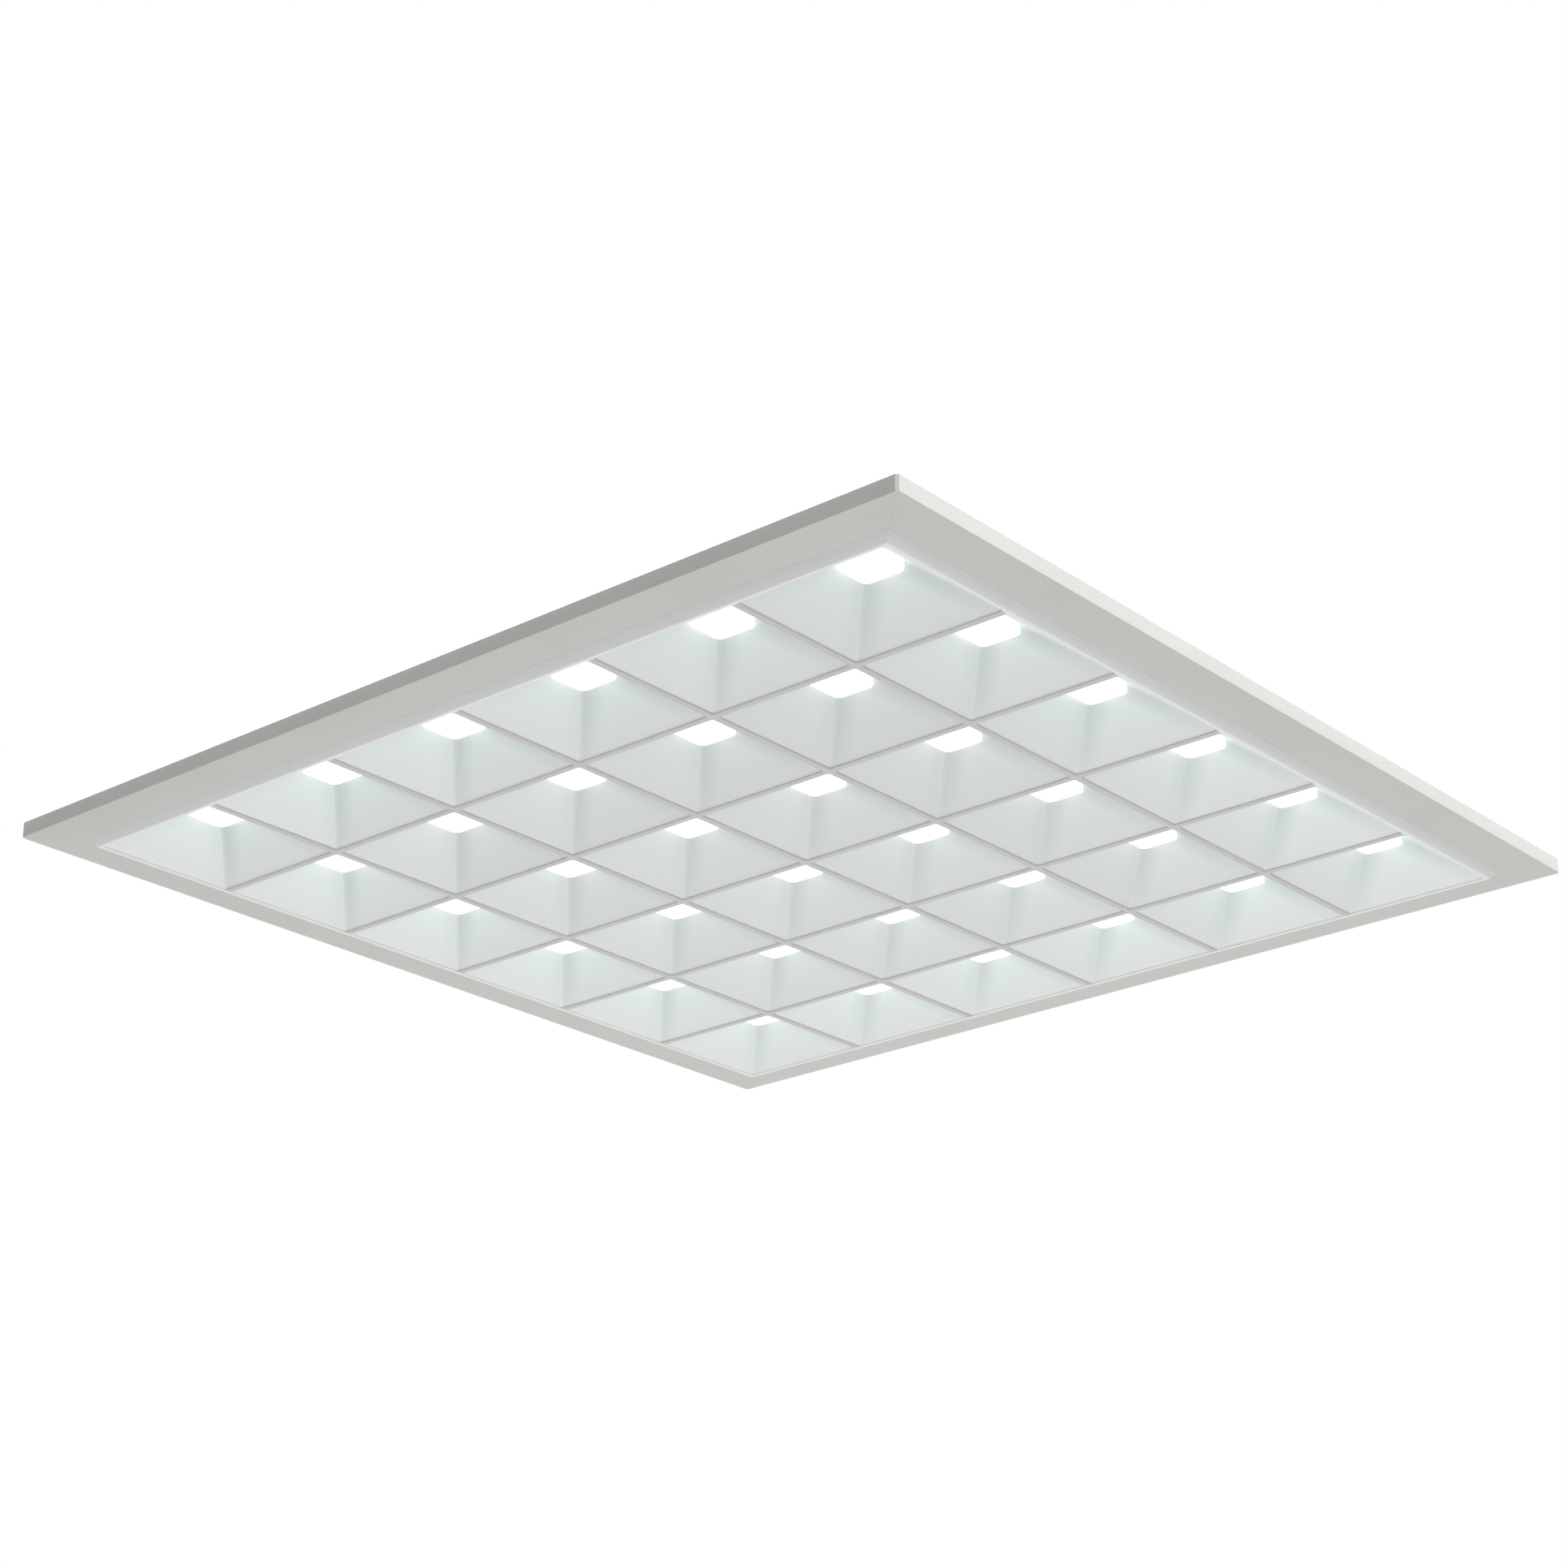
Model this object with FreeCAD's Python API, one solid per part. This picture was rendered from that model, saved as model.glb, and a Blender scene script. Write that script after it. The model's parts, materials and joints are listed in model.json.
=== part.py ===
import FreeCAD, Part
import math
import os

# Recessed louvre light for a 600 mm ceiling grid: millimetres, +Z up.
# The origin is the middle of the opening, level with the lower face of the flange,
# which is the face that rests on the ceiling grid. The light shines towards -Z.

V = FreeCAD.Vector

# ---------------------------------------------------------------- driving sizes
# Frame: four mitred rails of one extruded profile
FRAME_SIDE = 595.0
FLANGE_WIDTH = 24.5
RIM_HEIGHT = 8.4
RAIL_WALL = 1.4
CHAMBER_WIDTH = 11.0
FRAME_CORNER_RADIUS = 2.0
KEY_LEG = 40.0

# Louvre: one moulding of flared square cells
CELLS = 6
RIDGE_WIDTH = 4.0
RIDGE_DROP = 4.5
BEVEL_RUN = 3.9
CELL_DEPTH = 24.0
WINDOW_SIDE = 25.0
WINDOW_RADIUS = 4.0
LOUVRE_WALL = 1.5
LIP_THICKNESS = 1.6
SEAT_RING = 2.0

# Light engine: a strip of lenses under a lamp board for each row of cells
LENS_PLATE = 1.5
LENS_PLATE_WIDTH = 32.0
LENS_PROUD = 5.0
LENS_WALL = 1.5
BOARD_THICKNESS = 1.6
BOARD_WIDTH = 24.0
BOARD_OVERRUN = 16.0
LED_SIDE = 5.0
LED_HEIGHT = 0.8
RIVET_SHANK_RADIUS = 1.6
RIVET_HEAD_RADIUS = 3.2
RIVET_HEAD_HEIGHT = 1.3

# Back pan: one stamped steel tray
SHEET = 0.8
PAN_FLANGE_SETBACK = 3.0
PAN_FLANGE_WIDTH = 17.0
PAN_SLOPE_RUN = 17.0
PAN_CORNER_RADIUS = 10.0
PAN_NOTCH = 48.0
PAN_SCREWS_PER_SIDE = 2
BEAD_WIDTH = 14.0
BEAD_HEIGHT = 2.2
BEAD_END_RADIUS = 6.0
BEAD_END_GAP = 34.0

# Screws and inserts
SCREW_RADIUS = 1.5
SCREW_HEAD_RADIUS = 2.8
SCREW_HEAD_HEIGHT = 1.8
SCREW_LENGTH = 5.0
WASHER_RADIUS = 4.0
INSERT_BORE_RADIUS = 2.1
INSERT_BARREL_RADIUS = 3.5
INSERT_FLANGE_RADIUS = 5.0
INSERT_LENGTH = 9.0

# Gear box on the back: a folded tray with a fixed cover and a hinged lid
GEAR_WIDTH = 76.0
GEAR_HEIGHT = 26.0
WIRING_LENGTH = 84.0
EAR_LENGTH = 12.0
EAR_WIDTH = 56.0
EAR_SCREW_SPAN = 40.0
COVER_LIP = 5.0
DIVIDER_FOOT = 8.0
DRIVER_LENGTH = 180.0
DRIVER_WIDTH = 46.0
DRIVER_HEIGHT = 19.0
DRIVER_GAP = 10.0
OUTLET_SPACE = 26.0
DRIVER_EAR = 8.0
DRIVER_EAR_THICKNESS = 1.5
DRIVER_BEVEL = 3.2
HINGE_PIN_RADIUS = 1.25
HINGE_WALL = 1.1
KNUCKLE_LENGTH = 12.0
PIN_HEAD = 1.0
LID_NOTCH_LENGTH = 24.0
LID_NOTCH_HEIGHT = 2.0
VENT_SLOTS = 7
VENT_LENGTH = 22.0
VENT_WIDTH = 2.4
VENT_PITCH = 8.0
VENT_ROW_OFFSET = 15.4

# Wiring inside the gear box
POLES = 3
POLE_PITCH = 11.0
TERMINAL_DEPTH = 20.0
TERMINAL_HEIGHT = 14.0
TERMINAL_SETBACK = 37.0
TERMINAL_END_WALL = 2.0
ENTRY_RADIUS = 2.2
ENTRY_HEIGHT = 4.9
ENTRY_DEPTH = 9.0
ENTRY_FLARE = 1.0
BUTTON_LENGTH = 6.0
BUTTON_WIDTH = 5.0
BUTTON_HEIGHT = 6.4
BUTTON_PROUD = 1.6
BUTTON_TRAVEL = 1.2
BUTTON_SETBACK = 7.0
BUTTON_DISH = 0.6
WIRE_RADIUS = 0.9
WIRE_BEND = 5.0
LEAD_SPREAD = 2.0
MAINS_LEAD_HEIGHT = 8.4
LEAD_SLOT_MARGIN = 2.7
EARTH_SCREW_INSET = 8.4
OUTLET_SETBACK = 12.0
BUSH_WALL = 1.5
BUSH_RIM = 1.0
CONNECTOR_HEIGHT = 3.0
CONNECTOR_LENGTH = 8.0
CONNECTOR_WIDTH = 10.0

# Cable gland in the end wall of the wiring space
GLAND_BORE_RADIUS = 4.2
GLAND_THREAD_RADIUS = 7.9
GLAND_FLATS = 19.0
GLAND_HEX = 5.0
GLAND_DOME = 7.0
GLAND_TAIL = 6.0
GLAND_DOME_WALL = 2.0
GLAND_DOME_SHOULDER = 1.0
GLAND_NUT = 3.5
GLAND_FOOT_GAP = 1.0

# Swing-out clips that hold the light down on the grid
CLIP_INSET = 65.0
CLIP_REACH = 75.0
CLIP_SHEET = 1.2
CLIP_WIDTH = 16.0
CLIP_RISE = 14.0
GRID_HEIGHT = 38.4
CLIP_RIVET_RADIUS = 2.0
CLIP_RIVET_HEAD_RADIUS = 4.5
CLIP_RIVET_TAIL_RADIUS = 3.2

# Small repeated pieces are made with a few flats instead of full curves
FASTENER_SIDES = 6
PIN_SIDES = 12
TIP_SIDES = 8
CORNER_FLATS = 2
# A rounded head keeps this share of its radius at its top
HEAD_CROWN = 0.65
# An oval bush rounds its ends by this share of its half width
BUSH_ROUNDNESS = 0.8

# Clearances
SEAT_GAP = 0.3
KEY_GAP = 0.15
PIN_GAP = 0.05
SLIDE_GAP = 0.1
COVER_GAP = 0.2

# ---------------------------------------------------------------- derived places
HALF = FRAME_SIDE / 2
OPENING_HALF = HALF - FLANGE_WIDTH
SKIRT_HALF = OPENING_HALF - SEAT_GAP
FIELD_HALF = SKIRT_HALF - BEVEL_RUN
PITCH = 2 * FIELD_HALF / CELLS
CHAMBER_END = RAIL_WALL + CHAMBER_WIDTH
SHELF_END = CHAMBER_END + RAIL_WALL
CHAMBER_MIDDLE = RAIL_WALL + CHAMBER_WIDTH / 2

RIDGE_Z = -RIDGE_DROP
VALLEY_Z = RIDGE_Z + LOUVRE_WALL
WINDOW_Z = RIDGE_Z + CELL_DEPTH
CROWN_Z = WINDOW_Z + LOUVRE_WALL
LIP_Z = RAIL_WALL + LIP_THICKNESS
LENS_TOP_Z = CROWN_Z + LENS_PLATE
LENS_FOOT_Z = WINDOW_Z - LENS_PROUD
BOARD_TOP_Z = LENS_TOP_Z + BOARD_THICKNESS
PAN_TOP_Z = BOARD_TOP_Z + SHEET
TRAY_FLOOR_Z = PAN_TOP_Z + SHEET
TRAY_RIM_Z = PAN_TOP_Z + GEAR_HEIGHT

MOUTH_HALF = (PITCH - RIDGE_WIDTH) / 2
WINDOW_HALF = WINDOW_SIDE / 2
CELL_SLOPE = CELL_DEPTH / (MOUTH_HALF - WINDOW_HALF)
WALL_LIFT = LOUVRE_WALL * math.sqrt(1 + CELL_SLOPE ** 2)

ROWS = [(index - (CELLS - 1) / 2) * PITCH for index in range(CELLS)]
RIVET_COLUMNS = [-2 * PITCH, 2 * PITCH]
BOARD_HALF = ROWS[-1] + WINDOW_HALF + BOARD_OVERRUN
LENS_STRIP_HALF = ROWS[-1] + LENS_PLATE_WIDTH / 2

PAN_FOOT_HALF = HALF - PAN_FLANGE_SETBACK - PAN_FLANGE_WIDTH
PAN_TOP_HALF = PAN_FOOT_HALF - PAN_SLOPE_RUN
CLIP_X = HALF - CLIP_INSET
CLIP_Y = PITCH
INSERT_XY = 2 * PITCH

GEAR_LENGTH = OUTLET_SPACE + DRIVER_LENGTH + DRIVER_GAP + WIRING_LENGTH
GEAR_X = GEAR_LENGTH / 2
GEAR_Y = GEAR_WIDTH / 2
DIVIDER_X = GEAR_X - WIRING_LENGTH
COVER_TOP_Z = TRAY_RIM_Z + SHEET
KNUCKLE_RADIUS = HINGE_PIN_RADIUS + PIN_GAP + HINGE_WALL
HINGE_Y = -GEAR_Y - SHEET - KNUCKLE_RADIUS
HINGE_Z = COVER_TOP_Z - KNUCKLE_RADIUS
TERMINAL_X = GEAR_X - TERMINAL_SETBACK - TERMINAL_DEPTH
TERMINAL_TOP_Z = TRAY_FLOOR_Z + TERMINAL_HEIGHT
DRIVER_X = DIVIDER_X - DRIVER_GAP - DRIVER_LENGTH
DRIVER_END_X = DRIVER_X + DRIVER_LENGTH
OUTLET_X = DRIVER_X - OUTLET_SETBACK
GLAND_Z = TRAY_FLOOR_Z + GLAND_FOOT_GAP + GLAND_FLATS / 2
MAINS_LEAD_Z = TRAY_FLOOR_Z + MAINS_LEAD_HEIGHT
BUTTON_X = TERMINAL_X + BUTTON_SETBACK
POLE_ROWS = [(index - (POLES - 1) / 2) * POLE_PITCH for index in range(POLES)]
LINK_X = SEAT_GAP + CONNECTOR_LENGTH / 2 - BOARD_HALF
LINK_Z = LENS_TOP_Z - CONNECTOR_HEIGHT / 2
FEED_Z = BOARD_TOP_Z - BUSH_RIM - SEAT_GAP - WIRE_BEND
BUSH_HALF_X = WIRE_RADIUS + BUSH_WALL
BUSH_HALF_Y = LEAD_SPREAD + WIRE_RADIUS + BUSH_WALL


# ---------------------------------------------------------------- shape helpers
def box(x0, x1, y0, y1, z0, z1):
    """Block between two corners."""
    return Part.makeBox(x1 - x0, y1 - y0, z1 - z0, V(x0, y0, z0))


def rod(radius, start, end):
    """Round bar from one point to another."""
    return Part.makeCylinder(radius, (end - start).Length, start, end - start)


def rounded_rectangle(half_x, half_y, radius, z):
    """Wire of four sides joined by quarter circles, centred on the Z axis."""
    edges = []
    last = None
    for quarter in range(4):
        turn = math.radians(90 * quarter)
        sign_x = 1 if quarter in (0, 3) else -1
        sign_y = 1 if quarter in (0, 1) else -1
        centre = V(sign_x * (half_x - radius), sign_y * (half_y - radius), z)
        ends = [centre + V(math.cos(turn + a), math.sin(turn + a), 0) * radius
                for a in (0, math.pi / 4, math.pi / 2)]
        if last is None:
            first = ends[0]
        else:
            edges.append(Part.LineSegment(last, ends[0]).toShape())
        edges.append(Part.Arc(ends[0], ends[1], ends[2]).toShape())
        last = ends[2]
    edges.append(Part.LineSegment(last, first).toShape())
    return Part.Wire(edges)


def rounded_block(half_x, half_y, radius, z0, z1):
    """Block with round upright corners, centred on the Z axis."""
    return Part.Face(rounded_rectangle(half_x, half_y, radius, z0)).extrude(V(0, 0, z1 - z0))


def skin(rings):
    """Solid with flat faces between successive rings of points and across both ends."""
    faces = [Part.Face(Part.makePolygon(ring + ring[:1])) for ring in (rings[0], rings[-1])]
    count = len(rings[0])
    for lower, upper in zip(rings, rings[1:]):
        for k in range(count):
            after = (k + 1) % count
            corners = [lower[k], lower[after], upper[after], upper[k], lower[k]]
            faces.append(Part.Face(Part.makePolygon(corners)))
    solid = Part.makeSolid(Part.makeShell(faces))
    if solid.Volume < 0:
        solid.reverse()
    return solid


def faceted_bar(profile, x=0.0, y=0.0, sides=FASTENER_SIDES):
    """Bar along Z whose radius follows a profile of (radius, height) pairs."""
    angles = [2 * math.pi * (k + 0.5) / sides for k in range(sides)]
    return skin([[V(x + radius * math.cos(a), y + radius * math.sin(a), z) for a in angles]
                 for radius, z in profile])


def soft_corner_ring(half_x, half_y, radius, z):
    """Points round a rectangle whose corners are a few flats."""
    ring = []
    for quarter in range(4):
        sign_x = 1 if quarter in (0, 3) else -1
        sign_y = 1 if quarter in (0, 1) else -1
        for k in range(CORNER_FLATS + 1):
            turn = math.pi / 2 * (quarter + k / CORNER_FLATS)
            ring.append(V(sign_x * (half_x - radius) + radius * math.cos(turn),
                          sign_y * (half_y - radius) + radius * math.sin(turn), z))
    return ring


def soft_corner_block(half_x, half_y, radius, z0, z1):
    """Block with faceted upright corners, centred on the Z axis."""
    return skin([soft_corner_ring(half_x, half_y, radius, z) for z in (z0, z1)])


def frustum(low_half, high_half, z0, z1):
    """Four-sided frustum centred on the Z axis."""
    signs = ((1, 1), (-1, 1), (-1, -1), (1, -1))
    return skin([[V(sx * half, sy * half, z) for sx, sy in signs]
                 for half, z in ((low_half, z0), (high_half, z1))])


def moved(shape, x=0.0, y=0.0, z=0.0):
    """Copy of a shape, shifted."""
    return shape.translated(V(x, y, z))


def turned(shape, degrees):
    """Copy of a shape, turned about the Z axis."""
    copy = shape.copy()
    copy.rotate(V(0, 0, 0), V(0, 0, 1), degrees)
    return copy


def laid_along_x(bar, x, y, z):
    """Bar along Z, turned to run along X from a point."""
    bar = bar.copy()
    bar.rotate(V(0, 0, 0), V(0, 1, 0), 90)
    return bar.translated(V(x, y, z))


def fused(shapes):
    """One solid from touching or overlapping shapes, with merged faces."""
    return shapes[0].multiFuse(shapes[1:]).removeSplitter()


def hexagon(flats, x0, x1, y, z):
    """Six-sided bar along X."""
    corner = flats / math.sqrt(3)
    points = [V(x0, y + corner * math.cos(math.radians(60 * k)),
                z + corner * math.sin(math.radians(60 * k))) for k in range(6)]
    return Part.Face(Part.makePolygon(points + points[:1])).extrude(V(x1 - x0, 0, 0))


def pan_head_screw(x, y, seat_z, length=SCREW_LENGTH):
    """Pan-head screw, head up, seated at seat_z."""
    return faceted_bar([(SCREW_RADIUS, seat_z - length), (SCREW_RADIUS, seat_z), (SCREW_HEAD_RADIUS, seat_z),
                        (SCREW_HEAD_RADIUS * HEAD_CROWN, seat_z + SCREW_HEAD_HEIGHT)], x, y)


def small_hole(radius, x, y, z0, z1):
    """Clearance hole for a small fastener."""
    return faceted_bar([(radius + PIN_GAP, z0), (radius + PIN_GAP, z1)], x, y)


def screw_hole(x, y, z0, z1):
    """Clearance hole for a screw."""
    return small_hole(SCREW_RADIUS, x, y, z0, z1)


def pivot_bore(pin_radius, z0, z1):
    """Bore for a turning pin: its flats clear the pin all round."""
    radius = (pin_radius + PIN_GAP) / math.cos(math.pi / PIN_SIDES)
    return faceted_bar([(radius, z0), (radius, z1)], sides=PIN_SIDES)


def export(name, shapes):
    """Writes one node from a solid or a list of separate solids."""
    shape = shapes
    if isinstance(shapes, list):
        shape = Part.makeCompound(shapes)
    shape.exportStep("parts/" + name + ".step")


# ---------------------------------------------------------------- frame
def pan_screw_places():
    """Points along the front rail where the pan is screwed down."""
    run = HALF - PAN_NOTCH
    step = 2 * run / PAN_SCREWS_PER_SIDE
    return [(index - (PAN_SCREWS_PER_SIDE - 1) / 2) * step for index in range(PAN_SCREWS_PER_SIDE)]


def front_rail():
    """Extruded profile along X: rim, hollow chamber and flange, mitred at both ends."""
    y = -HALF
    points = [(0, 0), (0, RIM_HEIGHT), (SHELF_END, RIM_HEIGHT), (SHELF_END, RAIL_WALL),
              (FLANGE_WIDTH, RAIL_WALL), (FLANGE_WIDTH, 0), (0, 0)]
    profile = Part.Face(Part.makePolygon([V(-HALF, y + u, z) for u, z in points]))
    rail = profile.extrude(V(FRAME_SIDE, 0, 0))
    rail = rail.cut(box(-HALF, HALF, y + RAIL_WALL, y + CHAMBER_END, RAIL_WALL, RIM_HEIGHT - RAIL_WALL))
    mitre = Part.Face(Part.makePolygon([V(-HALF, y, 0), V(HALF, y, 0), V(0, 0, 0), V(-HALF, y, 0)]))
    rail = rail.common(mitre.extrude(V(0, 0, RIM_HEIGHT)))
    rail = rail.common(rounded_block(HALF, HALF, FRAME_CORNER_RADIUS, 0, RIM_HEIGHT))
    for x in pan_screw_places():
        rail = rail.cut(screw_hole(x, y + CHAMBER_MIDDLE, RIM_HEIGHT - RAIL_WALL - 1, RIM_HEIGHT + 1))
    return rail


def corner_keys():
    """Angle that joins two rails at each corner, inside their chambers."""
    near = -HALF + RAIL_WALL + KEY_GAP
    far = -HALF + CHAMBER_END - KEY_GAP
    end = -HALF + RAIL_WALL + KEY_LEG
    low = RAIL_WALL + KEY_GAP
    high = RIM_HEIGHT - RAIL_WALL - KEY_GAP
    key = fused([box(near, end, near, far, low, high), box(near, far, near, end, low, high)])
    return [turned(key, 90 * side) for side in range(4)]


# ---------------------------------------------------------------- louvre and light engine
def louvre():
    """Moulded grid: flared thin-walled cells, V-shaped ridges, bevelled border and lip."""
    lip_half = HALF - SHELF_END - SEAT_GAP
    bevel_slope = RIDGE_DROP / BEVEL_RUN
    wall_run = LOUVRE_WALL * math.sqrt(1 + bevel_slope ** 2) / bevel_slope
    trough_half = FIELD_HALF + LOUVRE_WALL / bevel_slope - wall_run
    base = fused([frustum(FIELD_HALF, SKIRT_HALF, RIDGE_Z, 0),
                  box(-SKIRT_HALF, SKIRT_HALF, -SKIRT_HALF, SKIRT_HALF, 0, LIP_Z),
                  box(-lip_half, lip_half, -lip_half, lip_half, RAIL_WALL, LIP_Z)])
    base = base.cut(frustum(trough_half, SKIRT_HALF - LOUVRE_WALL, VALLEY_Z, LIP_Z))

    foot_half = MOUTH_HALF + (WALL_LIFT - LOUVRE_WALL) / CELL_SLOPE
    shell = frustum(foot_half, WINDOW_HALF + SEAT_RING, VALLEY_Z, CROWN_Z)
    cavity = frustum(MOUTH_HALF, WINDOW_HALF, RIDGE_Z, WINDOW_Z)
    window = soft_corner_block(WINDOW_HALF, WINDOW_HALF, WINDOW_RADIUS, WINDOW_Z, CROWN_Z)

    grid = [(x, y) for y in ROWS for x in ROWS]
    body = base.multiFuse([moved(shell, x, y) for x, y in grid])
    hollows = [moved(cavity, x, y) for x, y in grid] + [moved(window, x, y) for x, y in grid]
    return body.cut(hollows).removeSplitter()


def louvre_gasket():
    """Four foam strips between the louvre's lip and the flange of the pan."""
    near = -HALF + SHELF_END + SEAT_GAP
    far = -HALF + PAN_FLANGE_SETBACK + PAN_FLANGE_WIDTH - SEAT_GAP
    strip = box(near + (far - near), -near, near, far, LIP_Z, RIM_HEIGHT)
    strip = strip.cut(box(-far, -near + 1, near - 1, far + 1, LIP_Z - 1, RIM_HEIGHT + 1))
    return [turned(strip, 90 * side) for side in range(4)]


def lens_row(y):
    """Strip of hollow rounded-square lenses that stand down through one row of windows."""
    plate = box(-LENS_STRIP_HALF, LENS_STRIP_HALF, -LENS_PLATE_WIDTH / 2, LENS_PLATE_WIDTH / 2,
                CROWN_Z, LENS_TOP_Z)
    outer_half = WINDOW_HALF - SEAT_GAP
    inner_half = outer_half - LENS_WALL
    block = soft_corner_block(outer_half, outer_half, WINDOW_RADIUS - SEAT_GAP, LENS_FOOT_Z, CROWN_Z)
    hollow = box(-inner_half, inner_half, -inner_half, inner_half, LENS_FOOT_Z + LENS_WALL, LENS_TOP_Z)
    strip = fused([plate] + [moved(block, x) for x in ROWS])
    return moved(strip.cut([moved(hollow, x) for x in ROWS]), 0, y)


def led_board(y):
    """Lamp board over one row of cells."""
    board = box(-BOARD_HALF, BOARD_HALF, -BOARD_WIDTH / 2, BOARD_WIDTH / 2, LENS_TOP_Z, BOARD_TOP_Z)
    board = board.cut([small_hole(RIVET_SHANK_RADIUS, x, 0, LENS_TOP_Z, BOARD_TOP_Z) for x in RIVET_COLUMNS])
    return moved(board, 0, y)


def led_packages():
    """One lamp over each window, on the lower face of the boards."""
    half = LED_SIDE / 2
    lamp = box(-half, half, -half, half, LENS_TOP_Z - LED_HEIGHT, LENS_TOP_Z)
    return [moved(lamp, x, y) for y in ROWS for x in ROWS]


def board_rivets():
    """Rivets that hold the boards under the pan, domed on the back."""
    rivet = faceted_bar([(RIVET_SHANK_RADIUS, LENS_TOP_Z), (RIVET_SHANK_RADIUS, PAN_TOP_Z),
                         (RIVET_HEAD_RADIUS, PAN_TOP_Z),
                         (RIVET_HEAD_RADIUS * HEAD_CROWN, PAN_TOP_Z + RIVET_HEAD_HEIGHT)])
    return [moved(rivet, x, y) for y in ROWS for x in RIVET_COLUMNS]


# ---------------------------------------------------------------- inner wiring
def connector(y, low_z, high_z):
    """Block of a connector at the end of a board, or in the middle between them."""
    half_x = CONNECTOR_LENGTH / 2
    half_y = CONNECTOR_WIDTH / 2
    return box(LINK_X - half_x, LINK_X + half_x, y - half_y, y + half_y, low_z, high_z)


def board_connectors():
    """One plug-in connector under the end of each board."""
    return [connector(y, LENS_TOP_Z - CONNECTOR_HEIGHT, LENS_TOP_Z) for y in ROWS]


def feed_splice():
    """Junction between the driver's leads and the links of the boards, fixed under the pan."""
    return connector(0, FEED_Z - 2 * WIRE_RADIUS, BOARD_TOP_Z)


def straight_wire(start, end):
    """Six-sided wire along X or Y."""
    length = (end - start).Length
    wire = faceted_bar([(WIRE_RADIUS, 0), (WIRE_RADIUS, length)])
    wire.rotate(V(0, 0, 0), V(1, 0, 0), -90)
    if abs(end.x - start.x) > abs(end.y - start.y):
        wire.rotate(V(0, 0, 0), V(0, 0, 1), -90)
    return wire.translated(start)


def link_wires():
    """Pairs of wires from board to board, and to the splice in the middle."""
    stops = sorted(ROWS + [0.0])
    half_y = CONNECTOR_WIDTH / 2
    wires = []
    for low, high in zip(stops, stops[1:]):
        for dx in (-LEAD_SPREAD, LEAD_SPREAD):
            wires.append(straight_wire(V(LINK_X + dx, low + half_y, LINK_Z),
                                       V(LINK_X + dx, high - half_y, LINK_Z)))
    return wires


def output_leads():
    """Two leads from the driver, down through the pan and along a valley to the splice."""
    lead_z = TRAY_FLOOR_Z + DRIVER_HEIGHT / 2
    bend = WIRE_BEND
    short = bend * (1 - math.sqrt(0.5))
    x = OUTLET_X
    leads = []
    for y in (-LEAD_SPREAD, LEAD_SPREAD):
        start = V(DRIVER_X, y, lead_z)
        bend_in = V(x + bend, y, lead_z)
        drop_in = V(x, y, lead_z - bend)
        drop_out = V(x, y, FEED_Z + bend)
        bend_out = V(x - bend, y, FEED_Z)
        end = V(LINK_X + CONNECTOR_LENGTH / 2, y, FEED_Z)
        upper = Part.Arc(bend_in, V(x + short, y, lead_z - short), drop_in).toShape()
        lower = Part.Arc(drop_out, V(x - short, y, FEED_Z + short), bend_out).toShape()
        path = Part.Wire([Part.LineSegment(start, bend_in).toShape(), upper,
                          Part.LineSegment(drop_in, drop_out).toShape(), lower,
                          Part.LineSegment(bend_out, end).toShape()])
        angles = [math.radians(60 * k) for k in range(7)]
        ring = Part.makePolygon([start + V(0, math.cos(a), math.sin(a)) * WIRE_RADIUS for a in angles])
        leads.append(path.makePipeShell([ring], True, False))
    return leads


def bush_outline(grow, z0, z1):
    """Oval bar around the pair of leads."""
    half_x = BUSH_HALF_X + grow
    return soft_corner_block(half_x, BUSH_HALF_Y + grow, half_x * BUSH_ROUNDNESS, z0, z1)


def outlet_grommet():
    """Rubber bush where the leads pass through the tray and the pan."""
    low = BOARD_TOP_Z - BUSH_RIM
    high = TRAY_FLOOR_Z + BUSH_RIM
    bush = fused([bush_outline(0, low, high), bush_outline(BUSH_RIM, low, BOARD_TOP_Z),
                  bush_outline(BUSH_RIM, TRAY_FLOOR_Z, high)])
    holes = [small_hole(WIRE_RADIUS + PIN_GAP, 0, y, low, high) for y in (-LEAD_SPREAD, LEAD_SPREAD)]
    return moved(bush.cut(holes), OUTLET_X)


def outlet_hole():
    """Cut for the bush."""
    return moved(bush_outline(PIN_GAP, BOARD_TOP_Z, TRAY_FLOOR_Z), OUTLET_X)


# ---------------------------------------------------------------- back pan
def bead(half_length, z, inset):
    """Long raised rib with rounded ends and sloping sides, drawn in all round by an inset."""
    slope = BEAD_HEIGHT / 2
    return skin([soft_corner_ring(half_length - run, BEAD_WIDTH / 2 - run, BEAD_END_RADIUS - run, level)
                 for run, level in ((inset, z), (inset + slope, z + BEAD_HEIGHT))])


def bead_places():
    """Row and half length of each stiffening bead."""
    outer = CLIP_X - BEAD_END_GAP
    inner = INSERT_XY - BEAD_END_GAP
    return [(PITCH, outer), (-PITCH, outer), (2 * PITCH, inner), (-2 * PITCH, inner)]


def ear_screw_places():
    """Four screws through the ears of the gear tray."""
    x = GEAR_X + EAR_LENGTH / 2
    return [(sx * x, sy * EAR_SCREW_SPAN / 2) for sx in (-1, 1) for sy in (-1, 1)]


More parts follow.
